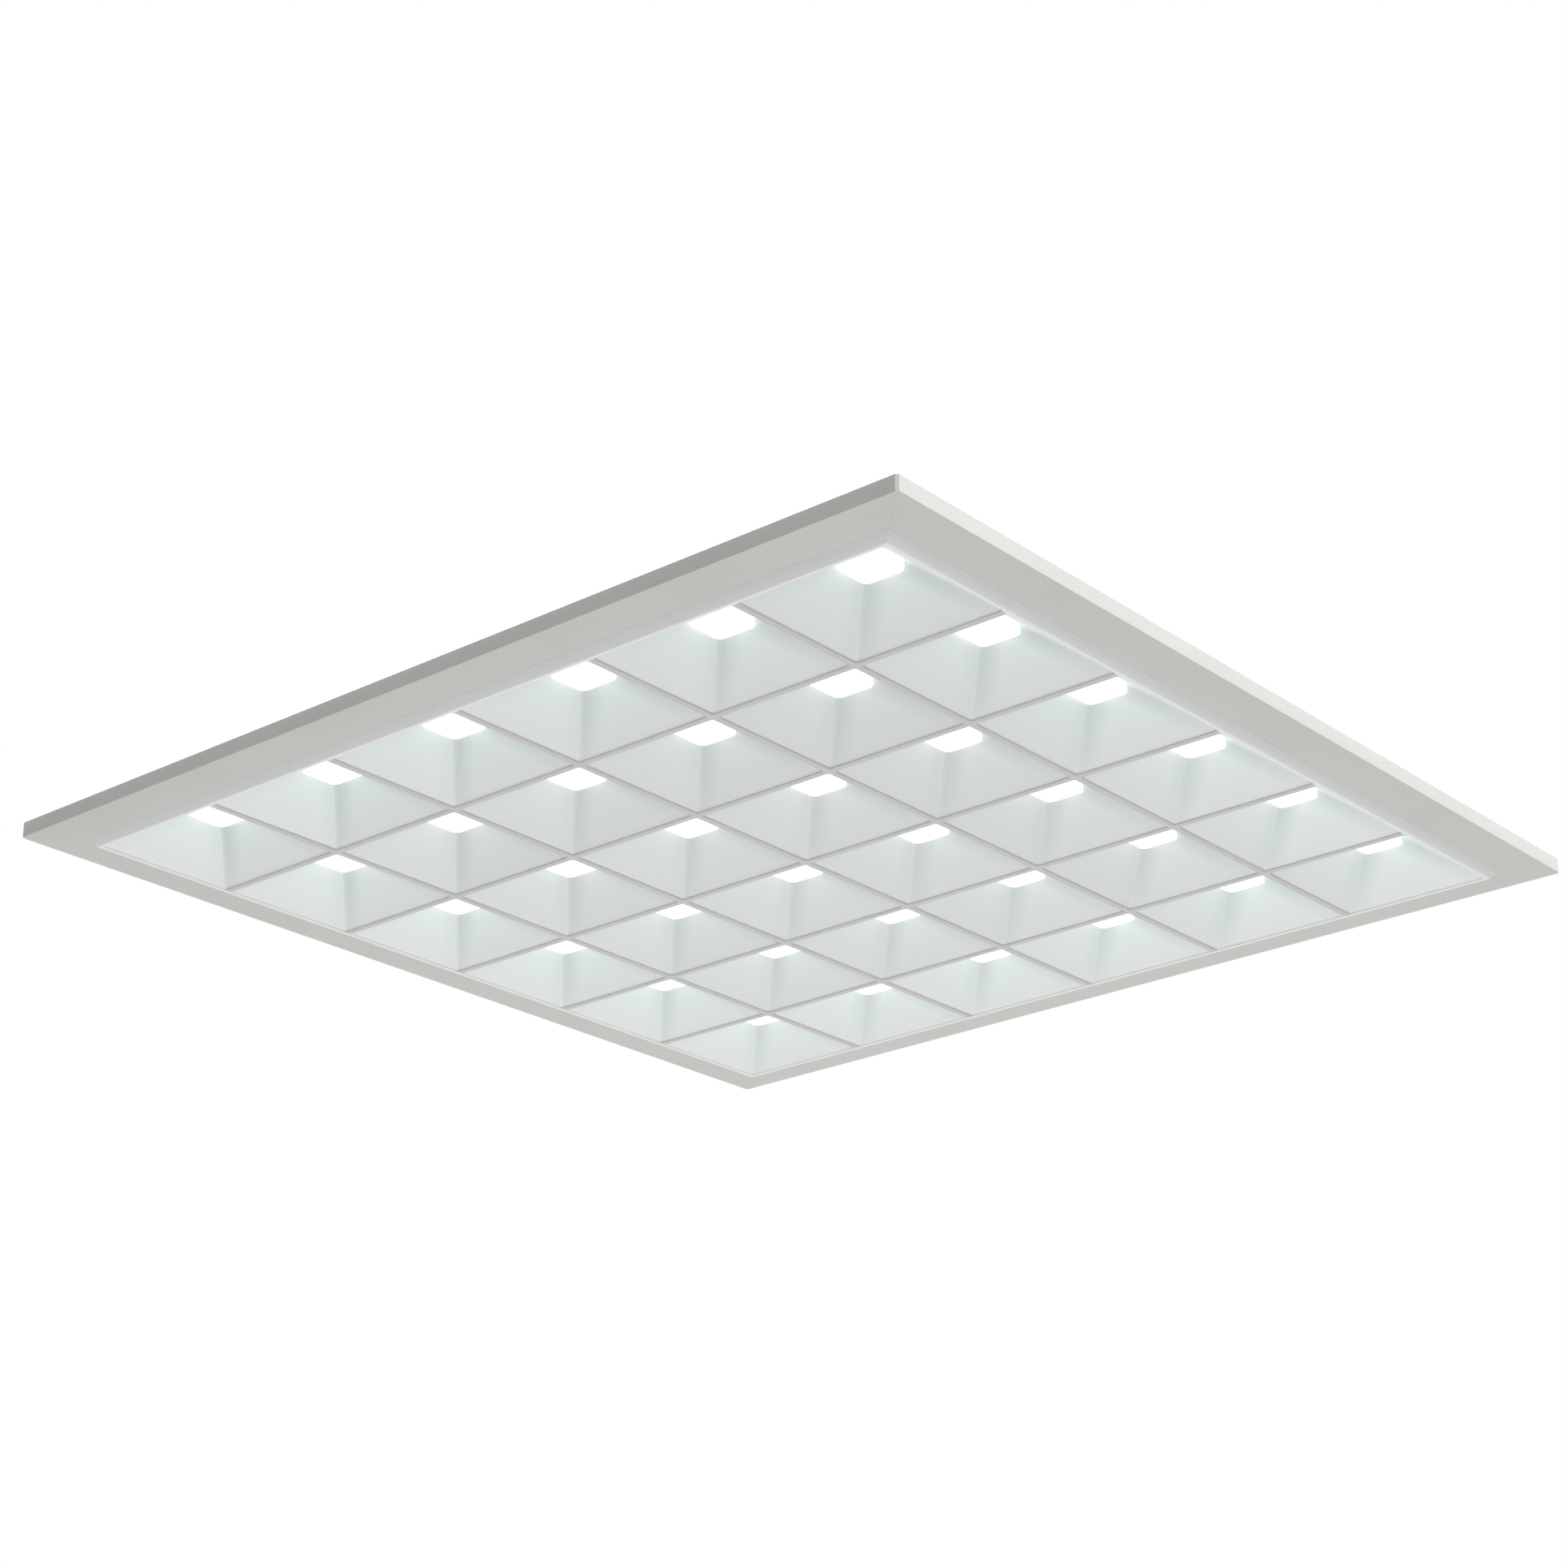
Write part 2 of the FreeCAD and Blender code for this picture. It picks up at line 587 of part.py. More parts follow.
def back_pan():
    """Stamped tray: sloping sides, flange notched at the corners, beads and fixing holes."""
    rise = PAN_TOP_Z - RIM_HEIGHT
    run_per_z = PAN_SLOPE_RUN / rise
    offset = SHEET * math.sqrt(1 + run_per_z ** 2)
    outer = Part.makeLoft([rounded_rectangle(PAN_FOOT_HALF, PAN_FOOT_HALF, PAN_CORNER_RADIUS, RIM_HEIGHT),
                           rounded_rectangle(PAN_TOP_HALF, PAN_TOP_HALF, PAN_CORNER_RADIUS, PAN_TOP_Z)],
                          True, True)
    foot = PAN_FOOT_HALF - offset
    top = foot - (BOARD_TOP_Z - RIM_HEIGHT) * run_per_z
    radius = PAN_CORNER_RADIUS - SHEET
    inner = Part.makeLoft([rounded_rectangle(foot, foot, radius, RIM_HEIGHT),
                           rounded_rectangle(top, top, radius, BOARD_TOP_Z)], True, True)
    edge = HALF - PAN_FLANGE_SETBACK
    run = HALF - PAN_NOTCH
    flange = box(-run, run, -edge, -foot + SHEET, RIM_HEIGHT, RIM_HEIGHT + SHEET)
    for x in pan_screw_places():
        flange = flange.cut(screw_hole(x, -HALF + CHAMBER_MIDDLE, RIM_HEIGHT - 1, RIM_HEIGHT + SHEET + 1))
    pan = outer.multiFuse([turned(flange, 90 * side) for side in range(4)])
    ribs = []
    grooves = []
    for y, half_length in bead_places():
        ribs.append(moved(bead(half_length, PAN_TOP_Z, 0), 0, y))
        grooves.append(moved(bead(half_length, BOARD_TOP_Z, SHEET), 0, y))
    pan = pan.multiFuse(ribs)
    holes = [inner, outlet_hole()] + grooves
    holes += [small_hole(RIVET_SHANK_RADIUS, x, y, BOARD_TOP_Z, PAN_TOP_Z)
              for y in ROWS for x in RIVET_COLUMNS]
    holes += [screw_hole(x, y, BOARD_TOP_Z, PAN_TOP_Z) for x, y in ear_screw_places() + driver_screw_places()]
    for sx in (-1, 1):
        for sy in (-1, 1):
            holes.append(small_hole(CLIP_RIVET_RADIUS, sx * CLIP_X, sy * CLIP_Y, BOARD_TOP_Z, PAN_TOP_Z))
            holes.append(small_hole(INSERT_BARREL_RADIUS, sx * INSERT_XY, sy * INSERT_XY,
                                    BOARD_TOP_Z, PAN_TOP_Z))
    return pan.cut(holes).removeSplitter()


def pan_screws():
    """Screws through the flange of the pan into the rails."""
    row = [pan_head_screw(x, -HALF + CHAMBER_MIDDLE, RIM_HEIGHT + SHEET) for x in pan_screw_places()]
    return [turned(screw, 90 * side) for side in range(4) for screw in row]


def hanger_inserts():
    """Four flanged thread inserts in the pan for a suspension kit."""
    foot_z = PAN_TOP_Z - INSERT_LENGTH
    insert = faceted_bar([(INSERT_BARREL_RADIUS, foot_z), (INSERT_BARREL_RADIUS, PAN_TOP_Z),
                          (INSERT_FLANGE_RADIUS, PAN_TOP_Z), (INSERT_FLANGE_RADIUS, PAN_TOP_Z + SHEET)])
    insert = insert.cut(rod(INSERT_BORE_RADIUS, V(0, 0, foot_z), V(0, 0, PAN_TOP_Z + SHEET)))
    return [moved(insert, sx * INSERT_XY, sy * INSERT_XY) for sx in (-1, 1) for sy in (-1, 1)]


# ---------------------------------------------------------------- gear box
def gear_tray():
    """Folded tray, open at the top, with two ears, a cable hole and its hinge knuckles."""
    outer = box(-GEAR_X, GEAR_X, -GEAR_Y, GEAR_Y, PAN_TOP_Z, TRAY_RIM_Z)
    inner = box(-GEAR_X + SHEET, GEAR_X - SHEET, -GEAR_Y + SHEET, GEAR_Y - SHEET, TRAY_FLOOR_Z, TRAY_RIM_Z)
    tray = outer.cut(inner)
    ear = box(-GEAR_X - EAR_LENGTH, GEAR_X + EAR_LENGTH, -EAR_WIDTH / 2, EAR_WIDTH / 2,
              PAN_TOP_Z, TRAY_FLOOR_Z)
    tray = tray.multiFuse([ear] + [knuckle(x, -1) for x in tray_knuckle_places()])
    places = ear_screw_places() + driver_screw_places()
    holes = [screw_hole(x, y, PAN_TOP_Z, TRAY_FLOOR_Z) for x, y in places]
    holes.append(outlet_hole())
    holes.append(gland_hole(GEAR_X - SHEET, GEAR_X))
    return tray.cut(holes).removeSplitter()


def tray_knuckle_places():
    """Where the knuckles of the tray start along X."""
    margin = KNUCKLE_LENGTH / 2
    return [DIVIDER_X + margin, GEAR_X - margin - KNUCKLE_LENGTH]


def lid_knuckle_places():
    """The knuckles of the lid lie next to those of the tray."""
    first, last = tray_knuckle_places()
    return [first + KNUCKLE_LENGTH + SEAT_GAP, last - KNUCKLE_LENGTH - SEAT_GAP]


def knuckle(x, side):
    """Rolled hinge eye with its leaf: side -1 goes down to the tray, 1 up to the lid."""
    eye = faceted_bar([(KNUCKLE_RADIUS, 0), (KNUCKLE_RADIUS, KNUCKLE_LENGTH)])
    eye = laid_along_x(eye, x, HINGE_Y, HINGE_Z)
    if side < 0:
        leaf = box(x, x + KNUCKLE_LENGTH, HINGE_Y, -GEAR_Y, HINGE_Z - KNUCKLE_RADIUS,
                   HINGE_Z - KNUCKLE_RADIUS + SHEET)
    else:
        leaf = box(x, x + KNUCKLE_LENGTH, HINGE_Y, -GEAR_Y, COVER_TOP_Z - SHEET, COVER_TOP_Z)
    bore = pivot_bore(HINGE_PIN_RADIUS, 0, KNUCKLE_LENGTH)
    return eye.fuse(leaf).cut(laid_along_x(bore, x, HINGE_Y, HINGE_Z))


def hinge_pin():
    """Pin through the knuckles with a small head at one end."""
    first, last = tray_knuckle_places()
    start = first - PIN_HEAD
    length = last + KNUCKLE_LENGTH - start
    head_radius = HINGE_PIN_RADIUS + HINGE_WALL / 2
    pin = faceted_bar([(HINGE_PIN_RADIUS, 0), (HINGE_PIN_RADIUS, length), (head_radius, length),
                       (head_radius, length + PIN_HEAD)], sides=PIN_SIDES)
    return laid_along_x(pin, start, HINGE_Y, HINGE_Z)


def folded_cover(x0, x1, lips):
    """Flat cover on the rim of the tray, with lips folded down outside its walls."""
    out_y = GEAR_Y + COVER_GAP + SHEET
    left, right, front, back = lips
    low_x = x0 - (COVER_GAP + SHEET) * left
    high_x = x1 + (COVER_GAP + SHEET) * right
    low_y = -out_y if front else -GEAR_Y
    high_y = out_y if back else GEAR_Y
    pieces = [box(low_x, high_x, low_y, high_y, TRAY_RIM_Z, COVER_TOP_Z)]
    low_z = COVER_TOP_Z - COVER_LIP
    if left:
        pieces.append(box(low_x, low_x + SHEET, low_y, high_y, low_z, TRAY_RIM_Z))
    if right:
        pieces.append(box(high_x - SHEET, high_x, low_y, high_y, low_z, TRAY_RIM_Z))
    if front:
        pieces.append(box(low_x, high_x, low_y, low_y + SHEET, low_z, TRAY_RIM_Z))
    if back:
        pieces.append(box(low_x, high_x, high_y - SHEET, high_y, low_z, TRAY_RIM_Z))
    return fused(pieces)


def driver_cover():
    """Fixed cover over the driver, with two groups of vent slots."""
    cover = folded_cover(-GEAR_X, DIVIDER_X, (1, 0, 1, 1))
    slot = box(-VENT_WIDTH / 2, VENT_WIDTH / 2, -VENT_LENGTH / 2, VENT_LENGTH / 2, TRAY_RIM_Z, COVER_TOP_Z)
    middle = DRIVER_X + DRIVER_LENGTH / 2
    slots = []
    for index in range(VENT_SLOTS):
        x = middle + (index - (VENT_SLOTS - 1) / 2) * VENT_PITCH
        slots += [moved(slot, x, side * VENT_ROW_OFFSET) for side in (-1, 1)]
    return cover.cut(slots)


def wiring_lid():
    """Hinged lid over the wiring space, at rest shut on the rim of the tray."""
    lid = folded_cover(DIVIDER_X + SEAT_GAP, GEAR_X, (0, 1, 0, 1))
    first, last = lid_knuckle_places()
    lid = fused([lid, knuckle(first, 1), knuckle(last, 1)])
    start = (DIVIDER_X + GEAR_X - LID_NOTCH_LENGTH) / 2
    low_z = COVER_TOP_Z - COVER_LIP
    return lid.cut(box(start, start + LID_NOTCH_LENGTH, GEAR_Y, GEAR_Y + COVER_GAP + SHEET,
                       low_z, low_z + LID_NOTCH_HEIGHT))


def compartment_divider():
    """Upright plate between driver and terminals, with a foot and a slot for the leads."""
    gap_y = GEAR_Y - SHEET - SEAT_GAP
    plate = box(DIVIDER_X - SHEET, DIVIDER_X, -gap_y, gap_y, TRAY_FLOOR_Z, TRAY_RIM_Z - SEAT_GAP)
    foot = box(DIVIDER_X, DIVIDER_X + DIVIDER_FOOT, -gap_y, gap_y, TRAY_FLOOR_Z, TRAY_FLOOR_Z + SHEET)
    slot_y = POLE_ROWS[-1] + LEAD_SLOT_MARGIN
    slot = box(DIVIDER_X - SHEET, DIVIDER_X, -slot_y, slot_y, MAINS_LEAD_Z - LEAD_SLOT_MARGIN,
               MAINS_LEAD_Z + LEAD_SLOT_MARGIN)
    return fused([plate, foot]).cut(slot)


def led_driver():
    """Closed driver housing with bevelled long edges."""
    half_y = DRIVER_WIDTH / 2
    top = TRAY_FLOOR_Z + DRIVER_HEIGHT
    edge = half_y - DRIVER_BEVEL
    shoulder = top - DRIVER_BEVEL
    points = [(-half_y, TRAY_FLOOR_Z), (half_y, TRAY_FLOOR_Z), (half_y, shoulder), (edge, top),
              (-edge, top), (-half_y, shoulder), (-half_y, TRAY_FLOOR_Z)]
    face = Part.Face(Part.makePolygon([V(DRIVER_X, y, z) for y, z in points]))
    body = face.extrude(V(DRIVER_LENGTH, 0, 0))
    ear_high = TRAY_FLOOR_Z + DRIVER_EAR_THICKNESS
    for x, y in driver_screw_places():
        ear = box(x - DRIVER_EAR / 2, x + DRIVER_EAR / 2, y - DRIVER_EAR / 2, y + DRIVER_EAR / 2,
                  TRAY_FLOOR_Z, ear_high)
        body = body.fuse(ear).cut(screw_hole(x, y, TRAY_FLOOR_Z, ear_high))
    return body.removeSplitter()


def driver_screw_places():
    """One ear at each end of the driver, beside its leads."""
    y = DRIVER_WIDTH / 2 - DRIVER_EAR
    return [(DRIVER_X - DRIVER_EAR / 2, y), (DRIVER_END_X + DRIVER_EAR / 2, -y)]


def driver_screws():
    """Two screws through the ears of the driver."""
    return [pan_head_screw(x, y, TRAY_FLOOR_Z + DRIVER_EAR_THICKNESS) for x, y in driver_screw_places()]


def terminal_block():
    """Screwless terminals: funnel entries facing the gland and a well for each button."""
    half_y = POLES * POLE_PITCH / 2 + TERMINAL_END_WALL
    block = box(TERMINAL_X, TERMINAL_X + TERMINAL_DEPTH, -half_y, half_y, TRAY_FLOOR_Z, TERMINAL_TOP_Z)
    face_x = TERMINAL_X + TERMINAL_DEPTH
    well_z = TERMINAL_TOP_Z + BUTTON_PROUD - BUTTON_HEIGHT - BUTTON_TRAVEL - SLIDE_GAP
    half_x = BUTTON_LENGTH / 2 + SLIDE_GAP
    half_w = BUTTON_WIDTH / 2 + SLIDE_GAP
    for y in POLE_ROWS:
        entry = faceted_bar([(ENTRY_RADIUS, -ENTRY_DEPTH), (ENTRY_RADIUS, -ENTRY_FLARE),
                             (ENTRY_RADIUS + ENTRY_FLARE, 0)])
        entry = laid_along_x(entry, face_x, y, TRAY_FLOOR_Z + ENTRY_HEIGHT)
        well = box(BUTTON_X - half_x, BUTTON_X + half_x, y - half_w, y + half_w,
                   well_z, TERMINAL_TOP_Z)
        block = block.cut([entry, well])
    return block


def release_button(y):
    """Release button, raised at rest and pressed down into its well."""
    top = TERMINAL_TOP_Z + BUTTON_PROUD
    half_x = BUTTON_LENGTH / 2
    half_w = BUTTON_WIDTH / 2
    block = box(BUTTON_X - half_x, BUTTON_X + half_x, y - half_w, y + half_w, top - BUTTON_HEIGHT, top)
    dish_z = top + half_x - BUTTON_DISH
    dish = rod(half_x, V(BUTTON_X, y - half_w, dish_z), V(BUTTON_X, y + half_w, dish_z))
    return block.cut(dish)


def mains_leads():
    """Leads from the terminal block through the divider to the driver."""
    return [straight_wire(V(DRIVER_END_X, y, MAINS_LEAD_Z), V(TERMINAL_X, y, MAINS_LEAD_Z))
            for y in POLE_ROWS]


def earth_screw():
    """Earth screw with its washer on the floor of the tray."""
    x = TERMINAL_X + TERMINAL_DEPTH / 2
    y = GEAR_Y - SHEET - EARTH_SCREW_INSET
    washer_z = TRAY_FLOOR_Z + SHEET
    return faceted_bar([(WASHER_RADIUS, TRAY_FLOOR_Z), (WASHER_RADIUS, washer_z),
                        (SCREW_HEAD_RADIUS, washer_z),
                        (SCREW_HEAD_RADIUS * HEAD_CROWN, washer_z + SCREW_HEAD_HEIGHT)], x, y)


def ear_screws():
    """Screws that hold the gear tray on the pan."""
    return [pan_head_screw(x, y, TRAY_FLOOR_Z) for x, y in ear_screw_places()]


def cable_gland():
    """Cable gland: threaded tail through the wall, hexagon and dome outside, one bore."""
    dome = faceted_bar([(GLAND_THREAD_RADIUS, -SHEET - GLAND_TAIL), (GLAND_THREAD_RADIUS, GLAND_HEX),
                        (GLAND_THREAD_RADIUS + GLAND_DOME_SHOULDER, GLAND_HEX),
                        (GLAND_BORE_RADIUS + GLAND_DOME_WALL, GLAND_HEX + GLAND_DOME)],
                       sides=PIN_SIDES)
    dome = laid_along_x(dome, GEAR_X, 0, GLAND_Z)
    head = hexagon(GLAND_FLATS, GEAR_X, GEAR_X + GLAND_HEX, 0, GLAND_Z)
    bore = rod(GLAND_BORE_RADIUS, V(GEAR_X - SHEET - GLAND_TAIL, 0, GLAND_Z),
               V(GEAR_X + GLAND_HEX + GLAND_DOME, 0, GLAND_Z))
    return fused([head, dome]).cut(bore)


def gland_hole(x0, x1):
    """Cut for the tail of the gland."""
    radius = GLAND_THREAD_RADIUS + PIN_GAP
    hole = faceted_bar([(radius, x0), (radius, x1)], sides=PIN_SIDES)
    return laid_along_x(hole, 0, 0, GLAND_Z)


def gland_nut():
    """Lock nut of the gland, inside the wall."""
    inner_x = GEAR_X - SHEET
    nut = hexagon(GLAND_FLATS, inner_x - GLAND_NUT, inner_x, 0, GLAND_Z)
    return nut.cut(gland_hole(inner_x - GLAND_NUT, inner_x))


# ---------------------------------------------------------------- grid clips
def grid_clip(sx, sy):
    """Bent strap on a pivot: foot, riser and arm, stowed along the side of the frame."""
    foot_z = PAN_TOP_Z + COVER_GAP
    arm_z = GRID_HEIGHT
    half = CLIP_WIDTH / 2
    disc = faceted_bar([(half, foot_z), (half, foot_z + CLIP_SHEET)], sides=TIP_SIDES)
    foot = box(-half, half, 0, CLIP_RISE, foot_z, foot_z + CLIP_SHEET)
    riser = box(-half, half, CLIP_RISE - CLIP_SHEET, CLIP_RISE, foot_z, arm_z + CLIP_SHEET)
    arm = box(-half, half, CLIP_RISE - CLIP_SHEET, CLIP_REACH - half, arm_z, arm_z + CLIP_SHEET)
    tip = faceted_bar([(half, arm_z), (half, arm_z + CLIP_SHEET)], 0, CLIP_REACH - half, TIP_SIDES)
    strap = fused([disc, foot, riser, arm, tip])
    strap = strap.cut(pivot_bore(CLIP_RIVET_RADIUS, foot_z, foot_z + CLIP_SHEET))
    if sy < 0:
        strap = turned(strap, 180)
    return moved(strap, sx * CLIP_X, sy * CLIP_Y)


def clip_rivets():
    """Pivot rivets of the four clips."""
    washer_z = PAN_TOP_Z + 2 * COVER_GAP + CLIP_SHEET
    rivet = faceted_bar([(CLIP_RIVET_TAIL_RADIUS, BOARD_TOP_Z - CLIP_SHEET),
                         (CLIP_RIVET_TAIL_RADIUS, BOARD_TOP_Z), (CLIP_RIVET_RADIUS, BOARD_TOP_Z),
                         (CLIP_RIVET_RADIUS, washer_z), (CLIP_RIVET_HEAD_RADIUS, washer_z),
                         (CLIP_RIVET_HEAD_RADIUS * HEAD_CROWN, washer_z + CLIP_SHEET)])
    return [moved(rivet, sx * CLIP_X, sy * CLIP_Y) for sx in (-1, 1) for sy in (-1, 1)]


# ---------------------------------------------------------------- write the nodes
def main():
    os.makedirs("parts", exist_ok=True)
    for side, name in enumerate(("front", "right", "back", "left")):
        export("frame_rail_" + name, turned(front_rail(), 90 * side))
    export("corner_keys", corner_keys())
    export("louvre", louvre())
    export("louvre_gasket", louvre_gasket())
    for number, y in enumerate(ROWS, start=1):
        export("lens_row_" + str(number), lens_row(y))
        export("led_board_" + str(number), led_board(y))
    export("led_packages", led_packages())
    export("board_rivets", board_rivets())
    export("board_connectors", board_connectors())
    export("feed_splice", feed_splice())
    export("link_wires", link_wires())
    export("output_leads", output_leads())
    export("outlet_grommet", outlet_grommet())
    export("back_pan", back_pan())
    export("pan_screws", pan_screws())
    export("hanger_inserts", hanger_inserts())
    export("gear_tray", gear_tray())
    export("ear_screws", ear_screws())
    export("driver_cover", driver_cover())
    export("wiring_lid", wiring_lid())
    export("hinge_pin", hinge_pin())
    export("compartment_divider", compartment_divider())
    export("led_driver", led_driver())
    export("driver_screws", driver_screws())
    export("terminal_block", terminal_block())
    for number, y in enumerate(POLE_ROWS, start=1):
        export("release_button_" + str(number), release_button(y))
    export("mains_leads", mains_leads())
    export("earth_screw", earth_screw())
    export("cable_gland", cable_gland())
    export("gland_nut", gland_nut())
    places = [(sx, sy) for sx in (-1, 1) for sy in (-1, 1)]
    for number, (sx, sy) in enumerate(places, start=1):
        export("grid_clip_" + str(number), grid_clip(sx, sy))
    export("clip_rivets", clip_rivets())


main()
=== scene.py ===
import json
import math

import bmesh
import bpy
import numpy as np
from mathutils import Matrix, Vector


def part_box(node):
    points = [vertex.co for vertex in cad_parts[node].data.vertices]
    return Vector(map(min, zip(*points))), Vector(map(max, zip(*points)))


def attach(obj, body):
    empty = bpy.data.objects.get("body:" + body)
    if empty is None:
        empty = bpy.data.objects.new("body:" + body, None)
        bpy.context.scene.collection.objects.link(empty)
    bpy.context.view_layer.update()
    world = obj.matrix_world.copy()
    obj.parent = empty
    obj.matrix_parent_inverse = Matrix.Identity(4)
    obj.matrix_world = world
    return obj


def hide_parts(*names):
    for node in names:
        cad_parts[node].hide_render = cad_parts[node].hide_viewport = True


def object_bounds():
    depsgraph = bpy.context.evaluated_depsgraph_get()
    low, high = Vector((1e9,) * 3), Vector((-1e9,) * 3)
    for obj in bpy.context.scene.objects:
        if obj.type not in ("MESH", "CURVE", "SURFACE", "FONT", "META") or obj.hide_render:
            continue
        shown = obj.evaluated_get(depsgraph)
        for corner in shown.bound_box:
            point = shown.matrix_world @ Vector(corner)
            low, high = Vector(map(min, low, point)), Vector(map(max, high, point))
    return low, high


# A recessed louvre light, seen from below. Lengths are metres in the part's own frame: +Z up into the
# ceiling, the lower face of the frame's flange at Z = 0, and the light shining down.

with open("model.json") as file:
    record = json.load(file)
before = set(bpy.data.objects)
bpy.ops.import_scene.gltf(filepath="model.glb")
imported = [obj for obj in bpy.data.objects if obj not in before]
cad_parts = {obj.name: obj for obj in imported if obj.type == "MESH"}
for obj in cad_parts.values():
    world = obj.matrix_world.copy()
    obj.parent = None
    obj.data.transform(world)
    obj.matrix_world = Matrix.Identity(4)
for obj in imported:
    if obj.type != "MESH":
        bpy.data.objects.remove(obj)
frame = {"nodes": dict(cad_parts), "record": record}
cad_low, cad_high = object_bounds()

MM = 0.001

# ---------------------------------------------------------------- sizes, from the frame where it holds them
HALF = cad_high.x
_, RAIL_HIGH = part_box("frame_rail_front")
RIM_HEIGHT = RAIL_HIGH.z
OPENING_HALF = -RAIL_HIGH.y
RAIL_WALL = 1.4 * MM
SHELF_INSET = 13.8 * MM     # how far in a rail keeps the rim's height
CORNER_CUT = 1.3 * MM       # inset of the flat across each corner
RAIL_EDGE = 0.25 * MM       # soft edge of the profile
MITRE_GAP = 0.02 * MM

LOUVRE_LOW, LOUVRE_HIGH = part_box("louvre")
CELLS = 6
RIDGE_Z = LOUVRE_LOW.z
CROWN_Z = LOUVRE_HIGH.z
LIP_HALF = LOUVRE_HIGH.x
SKIRT_GAP = 0.3 * MM
BEVEL_WIDTH = 3.9 * MM
SEAM_GAP = 0.08 * MM        # between the louvre's bevel and the frame
SKIRT_HALF = OPENING_HALF - SKIRT_GAP
FIELD_HALF = SKIRT_HALF - BEVEL_WIDTH
PITCH = 2 * FIELD_HALF / CELLS
BEVEL_HALF = OPENING_HALF - SEAM_GAP
RIDGE_HALF = 2.0 * MM
MOUTH_HALF = PITCH / 2 - RIDGE_HALF
WINDOW_HALF = 12.5 * MM
WINDOW_CORNER = 4.0 * MM
ROWS = (np.arange(CELLS) - (CELLS - 1) / 2) * PITCH

LENS_LOW, LENS_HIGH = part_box("lens_row_1")
LENS_FOOT_Z = LENS_LOW.z
LENS_TOP_Z = LENS_HIGH.z
LENS_GAP = 0.3 * MM         # between a lens block and its window


# ---------------------------------------------------------------- mesh helpers
WELD = 2e-6                 # points nearer to each other than this many metres become one
SHARP_EDGE = 35.0           # degrees past which an edge stays sharp


def quads(rows, columns, wrapped=False):
    """Corner numbers of every quad on a grid of rows x columns points. If wrapped, the last column is joined
    to the first."""
    r = np.arange(rows - 1)
    c = np.arange(columns if wrapped else columns - 1)
    r, c = np.meshgrid(r, c, indexing="ij")
    next_r, next_c = r + 1, (c + 1) % columns
    corners = [r * columns + c, r * columns + next_c, next_r * columns + next_c, next_r * columns + c]
    return np.stack(corners, -1).reshape(-1, 4)


def loft(rings):
    """Surface through closed rings of points, an array (ring, point, 3)."""
    return rings.reshape(-1, 3), quads(rings.shape[0], rings.shape[1], wrapped=True).tolist()


def capped(rings):
    """Surface through closed rings, with a flat face over its first ring and its last."""
    points, faces = loft(rings)
    count = rings.shape[1]
    return points, faces + [list(range(count)), list(range(len(points) - count, len(points)))]


def moved(surface, x, y):
    """The same surface, shifted level."""
    points, faces = surface
    return points + np.array([x, y, 0.0]), faces


def turned(surface, degrees):
    """The same surface, turned about the Z axis: x' = x cos - y sin, y' = x sin + y cos."""
    points, faces = surface
    c, s = math.cos(math.radians(degrees)), math.sin(math.radians(degrees))
    return points @ np.array([[c, s, 0.0], [-s, c, 0.0], [0.0, 0.0, 1.0]]), faces


def put(name, surfaces, paint, stands_for=(), body="housing", sharp=SHARP_EDGE):
    """One mesh piece from surfaces, welded, facing out and riding on its body, smooth but for edges of more
    than sharp degrees."""
    points, faces, start = [], [], 0
    for surface_points, surface_faces in surfaces:
        points.append(surface_points)
        faces += [[start + corner for corner in face] for face in surface_faces]
        start += len(surface_points)
    mesh = bpy.data.meshes.new(name)
    mesh.from_pydata(np.concatenate(points), [], faces)
    weld = bmesh.new()
    weld.from_mesh(mesh)
    bmesh.ops.remove_doubles(weld, verts=weld.verts, dist=WELD)
    bmesh.ops.recalc_face_normals(weld, faces=weld.faces)
    weld.to_mesh(mesh)
    weld.free()
    mesh.shade_smooth()
    mesh.set_sharp_from_angle(angle=math.radians(sharp))
    mesh.materials.append(paint)
    piece = bpy.data.objects.new(name, mesh)
    bpy.context.scene.collection.objects.link(piece)
    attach(piece, body)
    if stands_for:
        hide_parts(*stands_for)


# ---------------------------------------------------------------- outlines
QUARTER_TURNS = (np.eye(2), np.array([[0, 1], [-1, 0]]), -np.eye(2), np.array([[0, -1], [1, 0]]))


def rounded_outline(corners, radii):
    """Closed outline through corners (n, 2), each rounded by a quadratic curve that starts and ends one radius
    away from it: p = (1-t)^2 a + 2t(1-t) corner + t^2 b."""
    corners = np.asarray(corners, float)
    radii = np.broadcast_to(np.asarray(radii, float), len(corners))
    t = np.linspace(0, 1, 5)[:, None]
    pieces = []
    for k, corner in enumerate(corners):
        back, on = corners[k - 1] - corner, corners[(k + 1) % len(corners)] - corner
        a = corner + back / np.linalg.norm(back) * radii[k]
        b = corner + on / np.linalg.norm(on) * radii[k]
        pieces.append((1 - t) ** 2 * a + 2 * t * (1 - t) * corner + t ** 2 * b)
    return np.concatenate(pieces)


